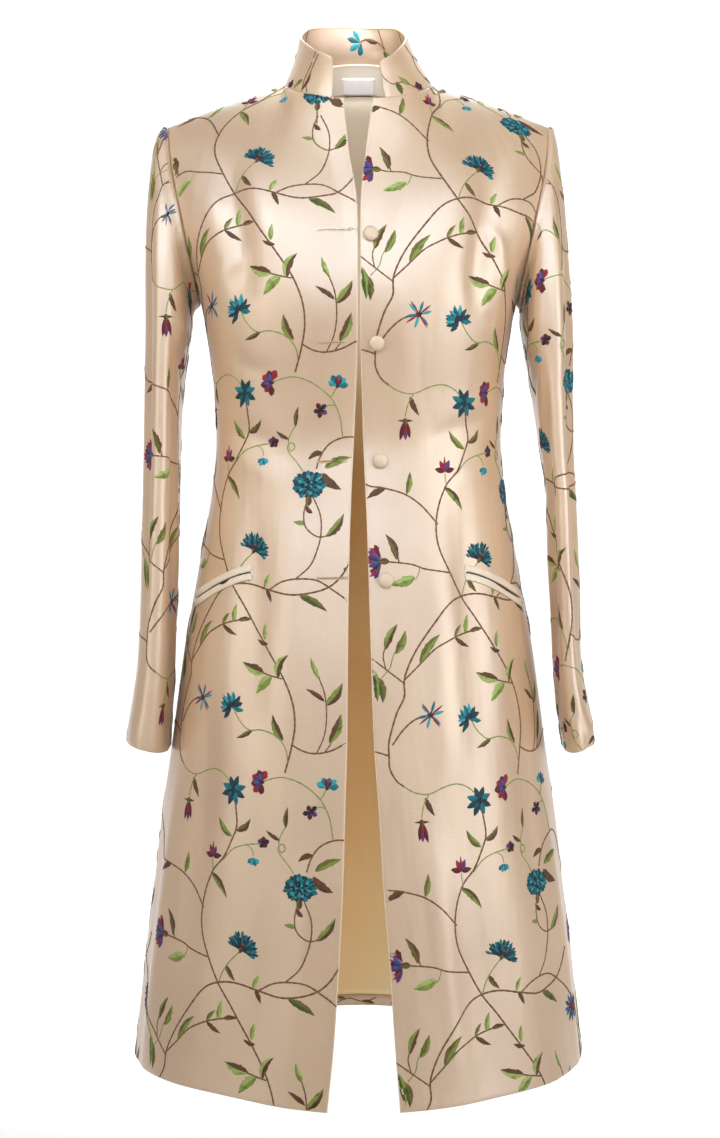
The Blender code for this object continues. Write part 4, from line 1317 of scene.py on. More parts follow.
# Flowers: where each stalk ends, which way its face looks in degrees, and its size
Bloom = namedtuple("Bloom", "kind u v turn size")
BLOOMS = (
    ("star", -38, 268, 12, 13.5),
    ("cornflower", 3, 262, 112, 14.5),
    ("poppy", 40, 194, 170, 12.5),
    ("bud", 105, 191, 80, 11.0),
    ("small", 90, 168, 190, 7.5),
    ("daisy", 9, 184, 0, 14.5),
    ("hanging", -53, 168, 270, 19.0),
    ("trefoil", -14, 119, 90, 11.5),
    ("small", 43, 137, 20, 6.0),
    ("teal_drop", 33, 122, 270, 8.0),
    ("peony", 82, 97, 95, 17.5),
    ("carnation", 23, 33, 66, 17.5),
    ("thistle", -80, 35, 180, 17.0),
    ("aster", -118, -34, 120, 14.0),
)

# Petals lie in a fan, half degrees to each side of turn, or all round where half is None. They run from
# inner millimetres to an outer share of the flower's size, and shift moves them out of its middle.
Petals = namedtuple("Petals", "turn half count inner outer width tones rows peak height tooth shift",
                    defaults=(0.45, 0.75, 0.0, 0.0))
# A spine runs through the middle, across it where aside is 90, from start to end millimetres and a
# share of the size
Spine = namedtuple("Spine", "start end width left right rows height share aside", defaults=(0.0, 0.0))
FORMS = {
    "carnation": (
        Petals(0, 86, 17, 9.625, 1.04, 3.4, ("teal", "deep_teal"), 6, 0.6, 0.75, 0.2),
        Petals(0, 80, 13, 3.5, 0.78, 4.2, ("deep_teal", "teal", "deep_teal"), 7, 0.7, 0.95, 0.15),
        Petals(0, 62, 8, 0.5, 0.5, 3.6, ("deep_teal", "night"), 6, 0.66, 1.2),
        Petals(0, 30, 3, 0.0, 3.4 / 17.5, 1.6, ("crimson", "orange"), 4, 0.45, 1.5, 0.0, 5.25),
        Spine(-2.5, 5.0, 5.0, "dark_brown", "olive", 6, 1.3),
    ),
    "cornflower": (
        Petals(0, 118, 9, 0.5, 1.0, 5.4, ("teal", "deep_teal", "deep_teal"), 9, 0.5, 0.75, 0.3),
        Petals(24, 50, 5, 1.0, 1.08, 4.4, ("turquoise", "teal"), 8, 0.5, 0.95, 0.3),
        Petals(0, 80, 6, 0.0, 0.55, 4.6, ("deep_teal", "night"), 6, 0.5, 1.15),
    ),
    "star": (
        Petals(0, None, 6, 1.0, 1.0, 3.0, ("turquoise", "teal"), 8, 0.55),
        Petals(22, None, 4, 0.5, 1.1, 2.0, ("crimson",), 7, 0.5, 1.0),
        Petals(0, None, 5, 0.0, 0.28, 2.4, ("dark_red", "deep_teal"), 5, 0.45, 1.3),
    ),
    "poppy": (
        Petals(0, 100, 6, 0.5, 1.0, 8.0, ("crimson", "dark_red"), 8, 0.66, 0.75, 0.2),
        Petals(0, 58, 4, 1.0, 0.72, 5.4, ("violet_blue", "purple"), 7, 0.6, 1.15, 0.15),
        Spine(-3.0, 4.5, 4.4, "night", "dark_red", 6, 1.3),
    ),
    "bud": (
        Petals(0, 74, 5, 0.0, 1.0, 6.8, ("teal", "turquoise", "teal"), 8, 0.62, 0.75, 0.12),
        Petals(0, 24, 3, 0.5, 0.78, 4.6, ("dark_red", "crimson", "dark_red"), 7, 0.45, 1.2),
        Spine(-2.5, 3.5, 4.2, "deep_teal", "deep_teal", 5, 1.3),
    ),
    "half_bud": (
        Petals(0, 66, 4, 0.5, 1.0, 6.5, ("turquoise", "teal"), 8, 0.62, 0.75, 0.12),
    ),
    "small": (
        Petals(0, None, 5, 0.0, 1.0, 5.4, ("night", "dark_red", "purple"), 7, 0.6),
        Petals(30, None, 3, 0.0, 0.5, 3.2, ("night",), 5, 0.6, 1.1),
    ),
    "teal_drop": (
        Petals(0, 50, 4, 0.0, 1.0, 5.0, ("teal", "turquoise"), 6, 0.62, 0.75, 0.15),
    ),
    "daisy": (
        Petals(22, None, 8, 1.0, 1.0, 6.6, ("teal", "deep_teal", "deep_teal"), 9, 0.48),
        Petals(0, None, 8, 0.5, 0.6, 3.4, ("deep_teal", "teal"), 6, 0.5, 0.95),
        Petals(0, None, 6, 0.0, 0.3, 3.0, ("deep_teal", "night"), 5, 0.45, 1.25),
    ),
    "hanging": (
        Spine(7.5, -7.5, 2.8, "dark_brown", "dark_brown", 6, 1.0, 0.0, 90.0),
        Petals(0, 14, 3, -1.0, 1.0, 5.6, ("dark_red", "crimson", "dark_red"), 8, 0.5),
        Spine(9.5, 0.0, 4.0, "purple", "purple", 6, 1.25, 0.98),
        Spine(-3.0, 5.0, 5.4, "dark_brown", "olive", 6, 1.3),
    ),
    "trefoil": (
        Petals(0, 78, 4, 0.0, 1.0, 6.0, ("dark_red", "purple", "crimson"), 7, 0.46),
        Spine(1.0, 0.0, 2.4, "crimson", "crimson", 6, 1.0, 1.25),
    ),
    "thistle": (
        Petals(0, 66, 9, 1.0, 1.0, 5.6, ("dark_red", "crimson", "purple"), 8, 0.7, 0.75, 0.25),
        Petals(0, 40, 6, 2.0, 0.72, 4.8, ("violet_blue", "purple", "deep_teal"), 7, 0.64, 1.15, 0.15),
        Spine(-7.0, 4.0, 7.0, "dark_brown", "olive", 7, 1.3),
    ),
    "aster": (
        Petals(0, None, 12, 1.0, 1.0, 4.0, ("teal", "deep_teal", "violet_blue"), 7, 0.6, 0.75, 0.2),
        Petals(0, None, 6, 0.0, 0.5, 3.4, ("crimson", "dark_red"), 6, 0.45, 1.2),
    ),
}

# A peony is four rings of petals, from and to shares of its size
PeonyRing = namedtuple("PeonyRing", "count inner outer width tones height")
PEONY = (
    PeonyRing(22, 0.45, 1.0, 5.2, ("teal", "deep_teal", "deep_teal"), 0.7),
    PeonyRing(18, 0.28, 0.78, 4.8, ("deep_teal", "teal", "turquoise"), 1.0),
    PeonyRing(14, 0.12, 0.56, 4.4, ("teal", "night", "deep_teal"), 1.25),
    PeonyRing(8, 0.0, 0.32, 4.0, ("deep_teal", "turquoise", "night"), 1.5),
)
PEONY_PEAK, PEONY_ROWS, PEONY_TOOTH = 0.7, 7, 0.25
CALYX = Spine(-7.0, 4.0, 7.0, "dark_brown", "olive", 7, 1.2)


def turned(origin, angle, length):
    """The place at a length from origin in a direction given in degrees."""
    return np.array([origin[0] + length * math.cos(math.radians(angle)),
                     origin[1] + length * math.sin(math.radians(angle))])


def petals(work, layer, at, turn, size):
    """One layer of a flower's petals, each a little off its angle and length."""
    at = turned(at, turn, layer.shift) if layer.shift else at
    turn = turn + layer.turn
    for number in range(layer.count):
        if layer.half is None:
            angle = turn + 360.0 * number / layer.count + rng.uniform(-RING_STRAY, RING_STRAY)
            length = size * layer.outer * rng.uniform(*RING_LENGTHS)
        else:
            angle = turn - layer.half + 2.0 * layer.half * number / (layer.count - 1)
            angle += rng.uniform(-FAN_STRAY, FAN_STRAY)
            length = size * layer.outer * rng.uniform(*FAN_LENGTHS)
        work.blade(turned(at, angle, layer.inner), turned(at, angle, length), layer.width,
                   layer.tones[number % len(layer.tones)], peak=layer.peak, rows=layer.rows,
                   height=layer.height, tooth=layer.tooth)


def peony(work, at, size):
    """A full round flower, a little squashed, on its calyx."""
    for layer in PEONY:
        for number in range(layer.count):
            angle = 2.0 * math.pi * (number + rng.uniform(-PEONY_STRAY, PEONY_STRAY)) / layer.count
            way = np.array([math.cos(angle), PEONY_SQUASH * math.sin(angle)])
            reach = layer.outer * rng.uniform(*FAN_LENGTHS)
            work.blade(at + way * size * layer.inner, at + way * size * reach, layer.width,
                       layer.tones[number % len(layer.tones)], peak=PEONY_PEAK, rows=PEONY_ROWS,
                       height=layer.height, tooth=PEONY_TOOTH)
    foot = at - (0.0, size * PEONY_SQUASH)
    work.blade(foot + (0.0, CALYX.start), foot + (0.0, CALYX.end), CALYX.width, CALYX.left, CALYX.right,
               rows=CALYX.rows, height=CALYX.height)


def bloom(work, flower, at):
    """One flower with its stalk end at a place."""
    if flower.kind == "peony":
        peony(work, at, flower.size)
        return
    for layer in FORMS[flower.kind]:
        if isinstance(layer, Petals):
            petals(work, layer, at, flower.turn, flower.size)
        else:
            way = flower.turn + layer.aside
            tip = turned(at, way, layer.end + flower.size * layer.share)
            work.blade(turned(at, way, layer.start), tip, layer.width, layer.left, layer.right,
                       rows=layer.rows, height=layer.height)


def vine(work, sheet, corner):
    """The repeat over a whole sheet, with its crossing at corner and at every tile from there."""
    low = sheet.flat.reshape(-1, 2).min(axis=0) - corner
    high = sheet.flat.reshape(-1, 2).max(axis=0) - corner
    box_low, box_high = low + corner - SHEET_MARGIN, high + corner + SHEET_MARGIN
    first = np.floor((low - TILE_REACH) / TILE).astype(int)
    last = np.ceil((high + TILE_REACH) / TILE).astype(int)
    for i in range(first[0], last[0] + 1):
        for j in range(first[1], last[1] + 1):
            at = corner + np.array([i, j]) * TILE
            for tone, width, points in STEMS:
                points = np.array(points, dtype=float) + at
                if (points.max(axis=0) > box_low).all() and (points.min(axis=0) < box_high).all():
                    work.stem(points, tone, width)
            for leaf in map(Leaf._make, LEAVES):
                base = at + (leaf.u0, leaf.v0)
                if (base > box_low).all() and (base < box_high).all():
                    tip = at + (leaf.u1, leaf.v1) + rng.uniform(-TIP_STRAY, TIP_STRAY, 2)
                    work.leaf(leaf, base, tip, VINE_ROWS, VINE_TOOTH)
            for flower in map(Bloom._make, BLOOMS):
                spot = at + (flower.u, flower.v)
                on, above = sheet.solve(np.array([spot, spot + (0.0, SEAM_REACH)]))[1]
                if on and not above:
                    foot = spot - (0.0, flower.size * PEONY_SQUASH + STALK_LENGTH)
                    work.stem((foot, foot + (0.0, SEAM_LIFT)), "brown", STALK_WIDTH)
                    spot = spot + (0.0, SEAM_LIFT)
                if on:
                    bloom(work, flower, spot)


def spray(name, sheet, stems, width, leaves, blooms):
    """Brown stems, leaves and flowers at places of their own, laid on a sheet."""
    work = Stitching()
    for points in stems:
        work.stem(points, "brown", width)
    for leaf in map(Leaf._make, leaves):
        work.leaf(leaf, (leaf.u0, leaf.v0), (leaf.u1, leaf.v1), SPRAY_ROWS, SPRAY_TOOTH)
    for flower in map(Bloom._make, blooms):
        bloom(work, flower, np.array([flower.u, flower.v]))
    return work.lay(name, sheet)


# The materials, and the visible pieces of each cloth piece by its name, the shell first
STUFF = {key: woven(weave) for key, weave in WEAVES.items()}
THREADS = [thread(*floss) for floss in FLOSSES]
on_sheet = {}


def shell(sheet, thickness, slot, *stuffs):
    """Make a cloth piece and hand it to the frame in place of its solid."""
    made = wall_mesh(sheet, thickness, [STUFF[stuff] for stuff in stuffs])
    on_sheet[sheet.name] = [riding(made, sheet.part)]


# The shells
for sheet in (*fronts.values(), back, *sleeves.values(), collar):
    shape_cloth(sheet)
# The fronts' first column and edge walls take the paler satin: a painted highlight along the front edges
for sheet in fronts.values():
    shell(sheet, CLOTH, "satin", "satin", "lining", "plain_satin")
for sheet in (back, *sleeves.values()):
    shell(sheet, CLOTH, "satin", "satin", "lining")
shell(collar, COLLAR_CLOTH, "satin", "satin", "satin")

# What lies inside the back: its turned-up hem, the lining, the neck facing and the label
UNDER = CLOTH + LAY_GAP
LINING_SINK = 1.4
INNER_FADE = 10.0
FACING_FOLD = (0.0, -96.0, 0.0, 6.0, 0.0, 2.4, -0.7)
turn_row = nearest(LOWER_Z, HEM_TURN_Z)
facing_row = len(LOWER_Z) + nearest(UPPER_HEIGHTS, FACING_HEIGHT)
middle = back.points.shape[1] // 2
neck_half = nearest(BACK_PLACES, NECK_COLUMNS)
neck = slice(middle - neck_half, middle + neck_half + 1)


def inner_piece(name, rows, columns, table=(), sink=0.0):
    """A piece inside the back, with its own creases, all of them away from the back."""
    sheet = back.under(name, rows, columns, UNDER)
    away = sheet.edges()
    fade = ease(away["low"], 0.0, INNER_FADE) * ease(away["top"], 0.0, INNER_FADE)
    sheet.push((np.minimum(relief_of(sheet.flat, table), sink) - sink) * fade)
    return sheet


hem = inner_piece("back_hem_cloth", slice(0, turn_row + 1), slice(None))
lining = inner_piece("back_lining_cloth", slice(turn_row, facing_row + 1), slice(None),
                     CREASES["lining"], LINING_SINK)
facing = inner_piece("neck_facing_cloth", slice(facing_row, None), neck, (FACING_FOLD,))
for sheet, stuff in ((hem, "satin"), (lining, "lining"), (facing, "facing")):
    shell(sheet, LINING_CLOTH, stuff, stuff, stuff)

# The label, on a grid of its own over the facing's inner face
LABEL_GRID = (15, 23)
LABEL_NEAR = 4.0
LABEL_ROUND = 0.3
LABEL_ROUND_WIDTH = 0.8
facing_inside = facing.inside("facing_inside", LINING_CLOTH)
half = LABEL_WIDTH / 2.0
near = np.abs(facing_inside.flat[..., 0]) <= half + LABEL_NEAR
low = facing_inside.flat[0, near[0], 1].max()
high = facing_inside.flat[-1, near[-1], 1].min()
across = np.linspace(-half, half, LABEL_GRID[1])
up = np.linspace(*(low + (high - low) * share for share in LABEL_ROWS), LABEL_GRID[0])
spots = np.dstack(np.meshgrid(across, up)).reshape(-1, 2)
at, good = facing_inside.solve(spots)
assert good.all()
points, _ = facing_inside.lift(at, np.full(len(at), LAY_GAP + LABEL_CLOTH))
label = Sheet("neck_label_cloth", points.reshape(*LABEL_GRID, 3))
label.flat = spots.reshape(*LABEL_GRID, 2)
label.push(-bell(np.minimum.reduce(list(label.edges().values())), LABEL_ROUND, LABEL_ROUND_WIDTH))
shell(label, LABEL_CLOTH, "label", "label", "label")

# A brown cord along the lower edge of the facing, under the label
PIPING_HALF_LENGTH = 14.0
PIPING_RADIUS = 0.8
PIPING_ABOVE = 0.6
PIPING_LIFT = 0.4
PIPING_STEPS = 40
PIPING_SIDES = 10
places = [(u, low + PIPING_ABOVE) for u in np.linspace(-PIPING_HALF_LENGTH, PIPING_HALF_LENGTH, PIPING_STEPS)]
at, good = facing_inside.solve(np.array(places))
points, normals = facing_inside.lift(at, np.full(PIPING_STEPS, PIPING_LIFT))
turn = np.linspace(0.0, 2.0 * math.pi, PIPING_SIDES, endpoint=False)
upward = np.array([0.0, 0.0, 1.0])
rings = np.array([[p + PIPING_RADIUS * (math.cos(t) * n + math.sin(t) * upward) for t in turn]
                  for p, n in zip(points, normals)])
on_sheet[facing.name].append(riding(tube("facing_piping", rings, STUFF["piping"])))

# Pockets: two jets with a slit between them, dark lines in the slit as painted shade, and a row of close
# stitches at each end
JET_STEPS = 90
JET_PROFILE = ((0.0, 0.0), (-0.1, 0.5), (0.05, 0.85), (0.2, 0.97), (0.5, 1.0), (0.8, 0.97), (0.95, 0.85),
               (1.1, 0.5), (1.0, 0.0))
JET_FOOT = 0.25
JET_RISE = WELT_LIFT + WELT_CLOTH - JET_FOOT
JET_END = 1.6
JET_END_RISE = 0.25
# The jets' waves: height, waves along the jet and shift from one jet to the next
JET_WAVES = ((0.12, 31.0, 1.0), (0.1, 73.0, 2.0))
# The dark lines in the slit, painted shade of its opening, as steps left out at its ends and between points,
# and the end stitches
SLIT_ENDS = 8
SLIT_SKIP = 6
SLIT_HANG = 0.7
SLIT_SHADE_LINE = {"width": WELT_SLIT + 0.5, "height": 0.35}
MOUTH_SHADE_LINE = {"width": WELT_SLIT + 0.7, "height": 0.4}
BAR_TACK = {"width": 1.5, "height": 2.4}
BAR_TACK_HALF = 3.2
# How far each lower jet hangs open, as share along the jet, reach and depth
Mouth = namedtuple("Mouth", "share reach depth")
MOUTHS = {"right": Mouth(0.46, 0.07, 1.9), "left": Mouth(0.72, 0.20, 1.5)}
share = np.linspace(0.0, 1.0, JET_STEPS)
swell = np.minimum(share, 1.0 - share) * (WELT_LENGTH_X[1] - WELT_LENGTH_X[0])
swell = JET_END_RISE + (1.0 - JET_END_RISE) * np.sqrt(np.clip(swell / JET_END, 0.0, 1.0))


def jet_line(side, start, drop=0.0):
    """A line along a pocket in x and z, from its end by the front edge, below its upper edge."""
    x = WELT_LENGTH_X[0] + (WELT_LENGTH_X[1] - WELT_LENGTH_X[0]) * share
    z = WELT_Z[0] + (WELT_Z[1] - WELT_Z[0]) * share ** WELT_DROP_POWER
    z = z + WELT_ARCH * np.sin(math.pi * share) - start + WELT_HEIGHT
    return np.column_stack([SIDES[side] * x, z - drop])


def jet(side, sheet, part, start, mouth):
    """One jet as a tube along the pocket, whose upper edge hangs down by mouth."""
    wave = sum(height * np.sin(share * waves + shift * start) for height, waves, shift in JET_WAVES)
    rings = []
    for across, rise in JET_PROFILE:
        across = min(max(across, 0.0), 1.0)
        at, _ = sheet.at_xz(jet_line(side, start, across * WELT_HEIGHT + (1.0 - across) * mouth))
        points, _ = sheet.lift(at, JET_FOOT + JET_RISE * rise * swell + wave * rise)
        rings.append(points)
    rings = np.array(rings).transpose(1, 0, 2)
    if side == "right":
        rings = rings[:, ::-1]
    name = "pocket_" + side + "_" + part
    # The jets are in the paler satin, its lit colour painted on as a highlight
    return riding(tube(name + "_jet", rings, STUFF["plain_satin"]), name)


for side, sheet in fronts.items():
    opening = MOUTHS[side]
    mouth = opening.depth * np.exp(-((share - opening.share) / opening.reach) ** 4)
    on_sheet[sheet.name] += [jet(side, sheet, "upper", 0.0, 0.0),
                             jet(side, sheet, "lower", WELT_HEIGHT + WELT_SLIT, mouth)]
    stitches = Stitching()
    # Painted shade: dark lines along the slit and along the open mouth of the lower jet
    slit = jet_line(side, WELT_HEIGHT + 0.5 * WELT_SLIT)
    _, flat = sheet.at_xz(slit)
    stitches.stem(flat[::SLIT_SKIP], "dark_brown", **SLIT_SHADE_LINE)
    hanging = slit - np.column_stack([np.zeros(JET_STEPS), SLIT_HANG * mouth])
    _, flat = sheet.at_xz(hanging[SLIT_ENDS:-SLIT_ENDS])
    stitches.stem(flat[::SLIT_SKIP], "night", **MOUTH_SHADE_LINE)
    for end in (slit[0], slit[-1]):
        _, flat = sheet.at_xz([end + (0.0, BAR_TACK_HALF), end, end - (0.0, BAR_TACK_HALF)])
        stitches.stem(flat, "ivory", **BAR_TACK)
    on_sheet[sheet.name].append(stitches.lay("pocket_" + side + "_stitches", sheet))

# Covered buttons on the left front, gathered towards their backs
BUTTON_SIDES = 48
PROFILE_STEP = 0.45
GATHERS = 12
GATHER_DEPTH = 0.02
GATHER_TOP = 3.0
GATHER_FADE = 2.5
LEAST_RADIUS = 0.02
profile = curve(np.array(BUTTON_PROFILE), PROFILE_STEP)
turn = np.linspace(0.0, 2.0 * math.pi, BUTTON_SIDES, endpoint=False)
sheet = fronts["left"]
for number, place in enumerate(BUTTONS, 1):
    at, _ = sheet.at_xz([place])
    base, normal = sheet.lift(at, np.array([BUTTON_LIFT]))
    axis = Vector(normal[0])
    side_way = axis.orthogonal().normalized()
    other_way = axis.cross(side_way)
    rings = []
    for radius, height in profile:
        gathers = GATHER_DEPTH * np.sin(turn * GATHERS + number) * ease(GATHER_TOP - height, 0.0, GATHER_FADE)
        reach = np.maximum(radius, LEAST_RADIUS) * (1.0 + gathers)
        rings.append(base[0] + np.outer(reach * np.cos(turn), side_way)
                     + np.outer(reach * np.sin(turn), other_way) + height * normal[0])
    name = "button_" + str(number)
    made = riding(tube(name + "_covered", np.array(rings)[::-1], STUFF["button"]), name)
    on_sheet[sheet.name].append(made)

# Worked buttonholes on the right front: two rows of stitches, a bar at each end, and a dark line along the
# slit, painted shade of its opening
HOLE_FROM_X, HOLE_TO_X = -13.0, -38.0
HOLE_DROP = 0.6
HOLE_Z = (-150.0, -256.0, -368.0, -478.0)
HOLE_STITCHES = 44
HOLE_STRAY = 0.25
HOLE_INNER, HOLE_OUTER = 0.25, 1.6
BAR_STITCHES = 5
BAR_FROM, BAR_STEP, BAR_HALF = 0.2, 0.45, 1.5
HOLE_THREAD, BAR_THREAD = 0.75, 0.8
# The top hole's loose thread: where it leaves the hole, its knot, and from there its tail and its loop
LOOSE_FROM, KNOT_AT = (2.0, 0.0), (3.5, 0.3)
KNOT_TAIL = ((0.0, 0.0), (2.5, -1.5), (4.0, 0.8), (6.5, -0.6))
KNOT_LOOP = ((0.0, -1.2), (1.2, 1.4), (3.2, -0.2), (1.6, -1.6))
holes = Stitching()
sheet = fronts["right"]
for number, z in enumerate(HOLE_Z):
    _, (near, far) = sheet.at_xz([(HOLE_FROM_X, z), (HOLE_TO_X, z - HOLE_DROP)])
    run = far - near
    tone = "cream" if number else "ivory"
    for k in range(HOLE_STITCHES):
        spot = near + run * (k + 0.5) / HOLE_STITCHES
        for stray, sign in zip(rng.uniform(-HOLE_STRAY, HOLE_STRAY, 2), (1.0, -1.0)):
            holes.blade(spot + (0.0, sign * HOLE_INNER), spot + (sign * stray, sign * HOLE_OUTER),
                        HOLE_THREAD, tone, height=0.6, rows=4)
    for end, sign in ((near, 1.0), (far, -1.0)):
        for k in range(BAR_STITCHES):
            spot = end + (sign * (BAR_FROM + BAR_STEP * k), 0.0)
            holes.blade(spot - (0.0, BAR_HALF), spot + (0.0, BAR_HALF), BAR_THREAD, tone, height=0.75, rows=5)
    # A dark line along the slit: painted shade of the opening
    holes.stem([near, near + run * 0.5, far], "dark_brown", width=0.5, height=0.2)
    if number == 0:
        knot = near + KNOT_AT
        holes.stem([near + LOOSE_FROM, *(knot + KNOT_TAIL)], "ivory", width=1.3, height=1.6)
        holes.stem(knot + KNOT_LOOP, "ivory", width=1.2, height=1.9)
on_sheet[sheet.name].append(holes.lay("buttonholes", sheet))

# The climbing vine on each panel, and where its first crossing lies on each
CROSSINGS = {"front_right": (-122.8, -865.6), "front_left": (93.6, -875.5), "back": (30.0, -870.0),
             "sleeve_right": (-20.0, -398.0), "sleeve_left": (25.0, -389.0)}
for sheet in (*fronts.values(), back, *(opened(sleeves[side], side) for side in SIDES)):
    work = Stitching()
    vine(work, sheet, np.array(CROSSINGS[sheet.part]))
    on_sheet[sheet.name].append(work.lay(sheet.part + "_embroidery", sheet))

# Sprays of their own on the collar's two faces and on the turned-up hem
COLLAR_STEMS = (
    ((154, 46), (150, 32), (146, 14), (149, 1)),
    ((159, 44), (153, 28), (151, 10), (157, 1)),
    ((-184, 22), (-179, 17), (-171, 12), (-160, 13), (-150, 8), (-141, 0)),
    ((-120, 50), (-112, 36), (-98, 28), (-84, 30)),
    ((-112, 36), (-118, 22), (-114, 8)),
    ((20, 0), (16, 16), (4, 28), (-14, 32), (-30, 26)),
    ((60, 50), (70, 34), (86, 26)),
    ((-60, 2), (-52, 18), (-38, 30), (-32, 46)),
)
COLLAR_LEAVES = (
    (152, 20, 148, 1, 5.0, 1.0, "dark_brown", "dark_brown"),
    (143, 12, 134, 1, 6.0, -1.0, "olive", "leaf_green"),
    (-166, 14, -167, 0, 7.5, 0.5, "dark_green", "olive"),
    (-150, 9, -160, 19, 7.5, 1.0, "leaf_green", "leaf_green"),
    (-84, 30, -70, 36, 7.0, 1.5, "dark_brown", "leaf_green"),
    (-114, 10, -104, 2, 7.0, 1.0, "olive", "leaf_green"),
    (4, 28, 8, 44, 7.0, -1.5, "leaf_green", "olive"),
    (16, 14, 28, 22, 6.5, 1.0, "dark_brown", "leaf_green"),
    (86, 26, 100, 30, 7.0, 1.5, "leaf_green", "dark_brown"),
    (-38, 30, -24, 40, 7.0, 1.0, "dark_brown", "olive"),
)
COLLAR_BLOOMS = (
    ("small", 124.0, 3.0, 90, 6.0),
    ("small", -139.0, 4.0, 90, 6.0),
    ("cornflower", -30.0, 24.0, 150, 12.0),
    ("poppy", 68.0, 34.0, 100, 11.0),
)
on_sheet[collar.name].append(
    spray("collar_embroidery", collar, COLLAR_STEMS, 1.4, COLLAR_LEAVES, COLLAR_BLOOMS))

INSIDE_STEMS = (
    ((29, 46), (26, 36), (29, 24), (31, 17)),
    ((31, 17), (24, 23), (14, 25), (6, 22)),
    ((-60, 46), (-66, 36), (-72, 24)),
    ((-96, 44), (-90, 32), (-88, 18), (-80, 8)),
    ((100, 44), (92, 32), (90, 16)),
    ((60, 50), (66, 36), (74, 30)),
)
INSIDE_LEAVES = (
    (24, 23, 10, 25, 5.5, 1.0, "olive", "dark_brown"),
    (30, 16, 34, 3, 9.0, 1.5, "dark_green", "leaf_green"),
    (-80, 8, -72, 1, 6.0, 1.0, "leaf_green", "olive"),
    (90, 16, 84, 4, 7.0, -1.0, "olive", "leaf_green"),
)
INSIDE_BLOOMS = (("half_bud", 6.0, 21.0, 190, 15.0), ("trefoil", -72.0, 24.0, 260, 11.0))
on_sheet[collar.name].append(
    spray("collar_inside_embroidery", collar.inside("collar_inside", COLLAR_CLOTH),
          INSIDE_STEMS, 1.5, INSIDE_LEAVES, INSIDE_BLOOMS))

HEM_SPRAYS_U = (-190.0, -128.0, -66.0, -4.0, 58.0, 120.0, 182.0)
HEM_STEM = ((-22, 4), (-8, 9), (10, 5), (24, 10))
HEM_STEM_WIDTH = 1.3
HEM_LEAVES = (
    (8, 6, 22, 3, 5.5, 0.0, "leaf_green", "dark_brown"),
    (-10, 8, -22, 11, 4.6, 0.0, "olive", "leaf_green"),
)
work = Stitching()
for u in HEM_SPRAYS_U:
    at = np.array([u, HEM_Z])
    work.stem(at + HEM_STEM, "brown", HEM_STEM_WIDTH)
    for leaf in map(Leaf._make, HEM_LEAVES):
        work.blade(at + (leaf.u0, leaf.v0), at + (leaf.u1, leaf.v1), leaf.width, leaf.left, leaf.right,
                   tooth=SPRAY_TOOTH, groove=LEAF_GROOVE)
on_sheet[hem.name].append(work.lay("hem_inside_embroidery", hem.inside("hem_inside", LINING_CLOTH)))


def aimed(made, place, aim):
    """Put a camera or lamp at a place, looking at aim."""
    made.location = place
    made.rotation_euler = (Vector(aim) - made.location).to_track_quat("-Z", "Y").to_euler()
    return made


# Camera
CAMERA_LENS = 75.9
CAMERA_AT = (0.0015, -2.39355, -0.30323)
CAMERA_AIM = (0.0015, 0.0, -0.479)
camera_data = bpy.data.cameras.new("camera")
camera_data.lens = CAMERA_LENS
bpy.context.scene.camera = aimed(linked("camera", camera_data), CAMERA_AT, CAMERA_AIM)

# Studio
COOL, MILD, WARM = (0.82, 0.92, 1.0), (1.0, 0.97, 0.92), (1.0, 0.89, 0.74)
Lamp = namedtuple("Lamp", "name x y z size tall power aim_y aim_z spread colour")
LAMPS = (
    Lamp("key", -1.00, -1.30, 0.95, 0.9, 1.3, 3.5, 0.0, -0.10, 76.0, COOL),
    Lamp("other_key", 0.60, -1.40, 0.95, 0.8, 1.2, 2.4, 0.0, -0.10, 76.0, COOL),
    Lamp("fill", 1.55, -1.05, -0.25, 0.8, 1.2, 14.5, 0.0, -0.4, 180.0, MILD),
    Lamp("other_fill", -1.6, -1.1, -0.25, 0.8, 1.0, 7.5, 0.0, -0.4, 180.0, WARM),
    Lamp("front", -0.10, -2.60, 0.75, 1.6, 0.8, 1.2, 0.0, -0.14, 32.0, COOL),
    Lamp("neck", 0.0, -0.12, 0.45, 0.10, 0.10, 0.11, 0.06, -0.03, 26.0, MILD),
    Lamp("back", 0.0, 1.9, 1.6, 1.6, 1.6, 30.0, 0.0, -0.4, 180.0, COOL),
)
for lamp in LAMPS:
    data = bpy.data.lights.new(lamp.name, "AREA")
    data.energy = lamp.power
    data.color = lamp.colour
    data.shape = "RECTANGLE"
    data.size = lamp.size
    data.size_y = lamp.tall
    data.spread = math.radians(lamp.spread)
    aimed(linked(lamp.name, data), (lamp.x, lamp.y, lamp.z), (0.0, lamp.aim_y, lamp.aim_z))
WORLD_COLOUR = (1.0, 0.93, 0.84, 1.0)
WORLD_STRENGTH = 0.20
world = bpy.data.worlds.new("world")
world.use_nodes = True
tree = world.node_tree
fill(tree, tree.nodes["Background"], {"Color": WORLD_COLOUR, "Strength": WORLD_STRENGTH})
bpy.context.scene.world = world
bpy.context.scene.view_settings.view_transform = "Standard"

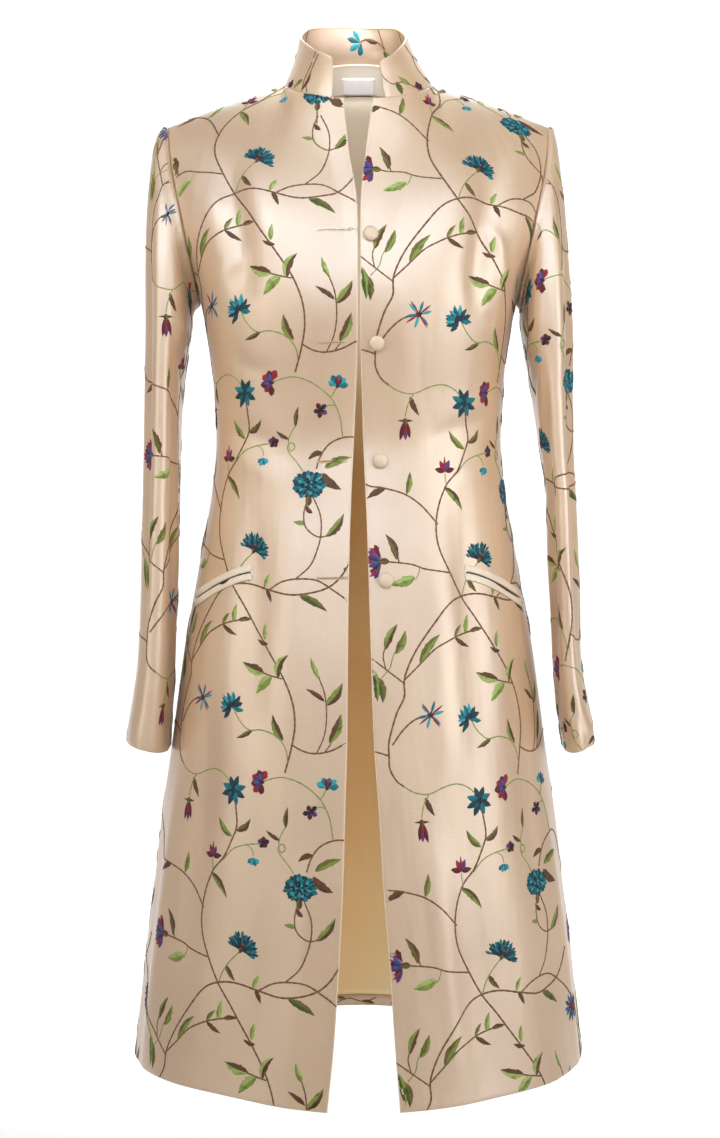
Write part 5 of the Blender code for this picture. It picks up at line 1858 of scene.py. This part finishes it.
# A pale floor that curves up behind the jacket and glows towards the back
FLOOR_Z, FLOOR_FRONT, FLOOR_HALF = -1.43, -5.0, 6.5
SWEEP_Y, SWEEP_RADIUS, SWEEP_STEPS, WALL_TOP = 5.5, 1.5, 17, 5.0
GLOW_DEPTHS = (0.2, 2.2)
GLOW_STRENGTHS = (0.02, 0.70)
PAPER_TINTS = ((0.3, (0.93, 0.93, 0.93, 1.0)), (0.7, (0.96, 0.96, 0.96, 1.0)))
turn = np.linspace(0.0, math.pi / 2.0, SWEEP_STEPS)
sweep_y = SWEEP_Y + SWEEP_RADIUS * np.sin(turn)
sweep_z = FLOOR_Z + SWEEP_RADIUS * (1.0 - np.cos(turn))
line = [(FLOOR_FRONT, FLOOR_Z), *zip(sweep_y, sweep_z), (SWEEP_Y + SWEEP_RADIUS, WALL_TOP)]
vertices = [(x, float(y), float(z)) for y, z in line for x in (-FLOOR_HALF, FLOOR_HALF)]
faces = [(2 * k, 2 * k + 1, 2 * k + 3, 2 * k + 2) for k in range(len(line) - 1)]
mesh = bpy.data.meshes.new("backdrop")
mesh.from_pydata(vertices, [], faces)
mesh.shade_smooth()
paper, tree, shader = new_material("backdrop_paper")
grain = node(tree, "ShaderNodeTexNoise", {"Scale": 3.0, "Detail": 2.0}).outputs["Fac"]
depth = height_of(tree, node(tree, "ShaderNodeTexCoord", {}).outputs["Object"])
glow = smooth_share(tree, depth, *GLOW_DEPTHS, *GLOW_STRENGTHS)
fill(tree, shader, {"Base Color": ramp(tree, grain, *PAPER_TINTS), "Roughness": 0.9,
                    "Emission Color": (1.0, 1.0, 1.0, 1.0), "Emission Strength": glow})
mesh.materials.append(paper)
linked("backdrop", mesh)

# What each cloth piece was cut to: width, length and area in metres, and what holds it up
Cut = namedtuple("Cut", "name width length area rests")
CUTS = (
    Cut("front_right_cloth", 0.30, 1.03, 0.233, "back"),
    Cut("front_left_cloth", 0.29, 1.03, 0.230, "back"),
    Cut("back_cloth", 0.64, 1.01, 0.468, "collar"),
    Cut("sleeve_right_cloth", 0.36, 0.64, 0.146, "back"),
    Cut("sleeve_left_cloth", 0.36, 0.64, 0.143, "back"),
    Cut("collar_cloth", 0.372, 0.054, 0.0144, "back"),
    Cut("back_hem_cloth", 0.64, 0.014, 0.0084, "back"),
    Cut("back_lining_cloth", 0.64, 0.96, 0.434, "back"),
    Cut("neck_facing_cloth", 0.19, 0.05, 0.0059, "back"),
    Cut("neck_label_cloth", 0.033, 0.018, None, "neck_facing"),
)
for cut in CUTS:
    made, *others = on_sheet[cut.name]
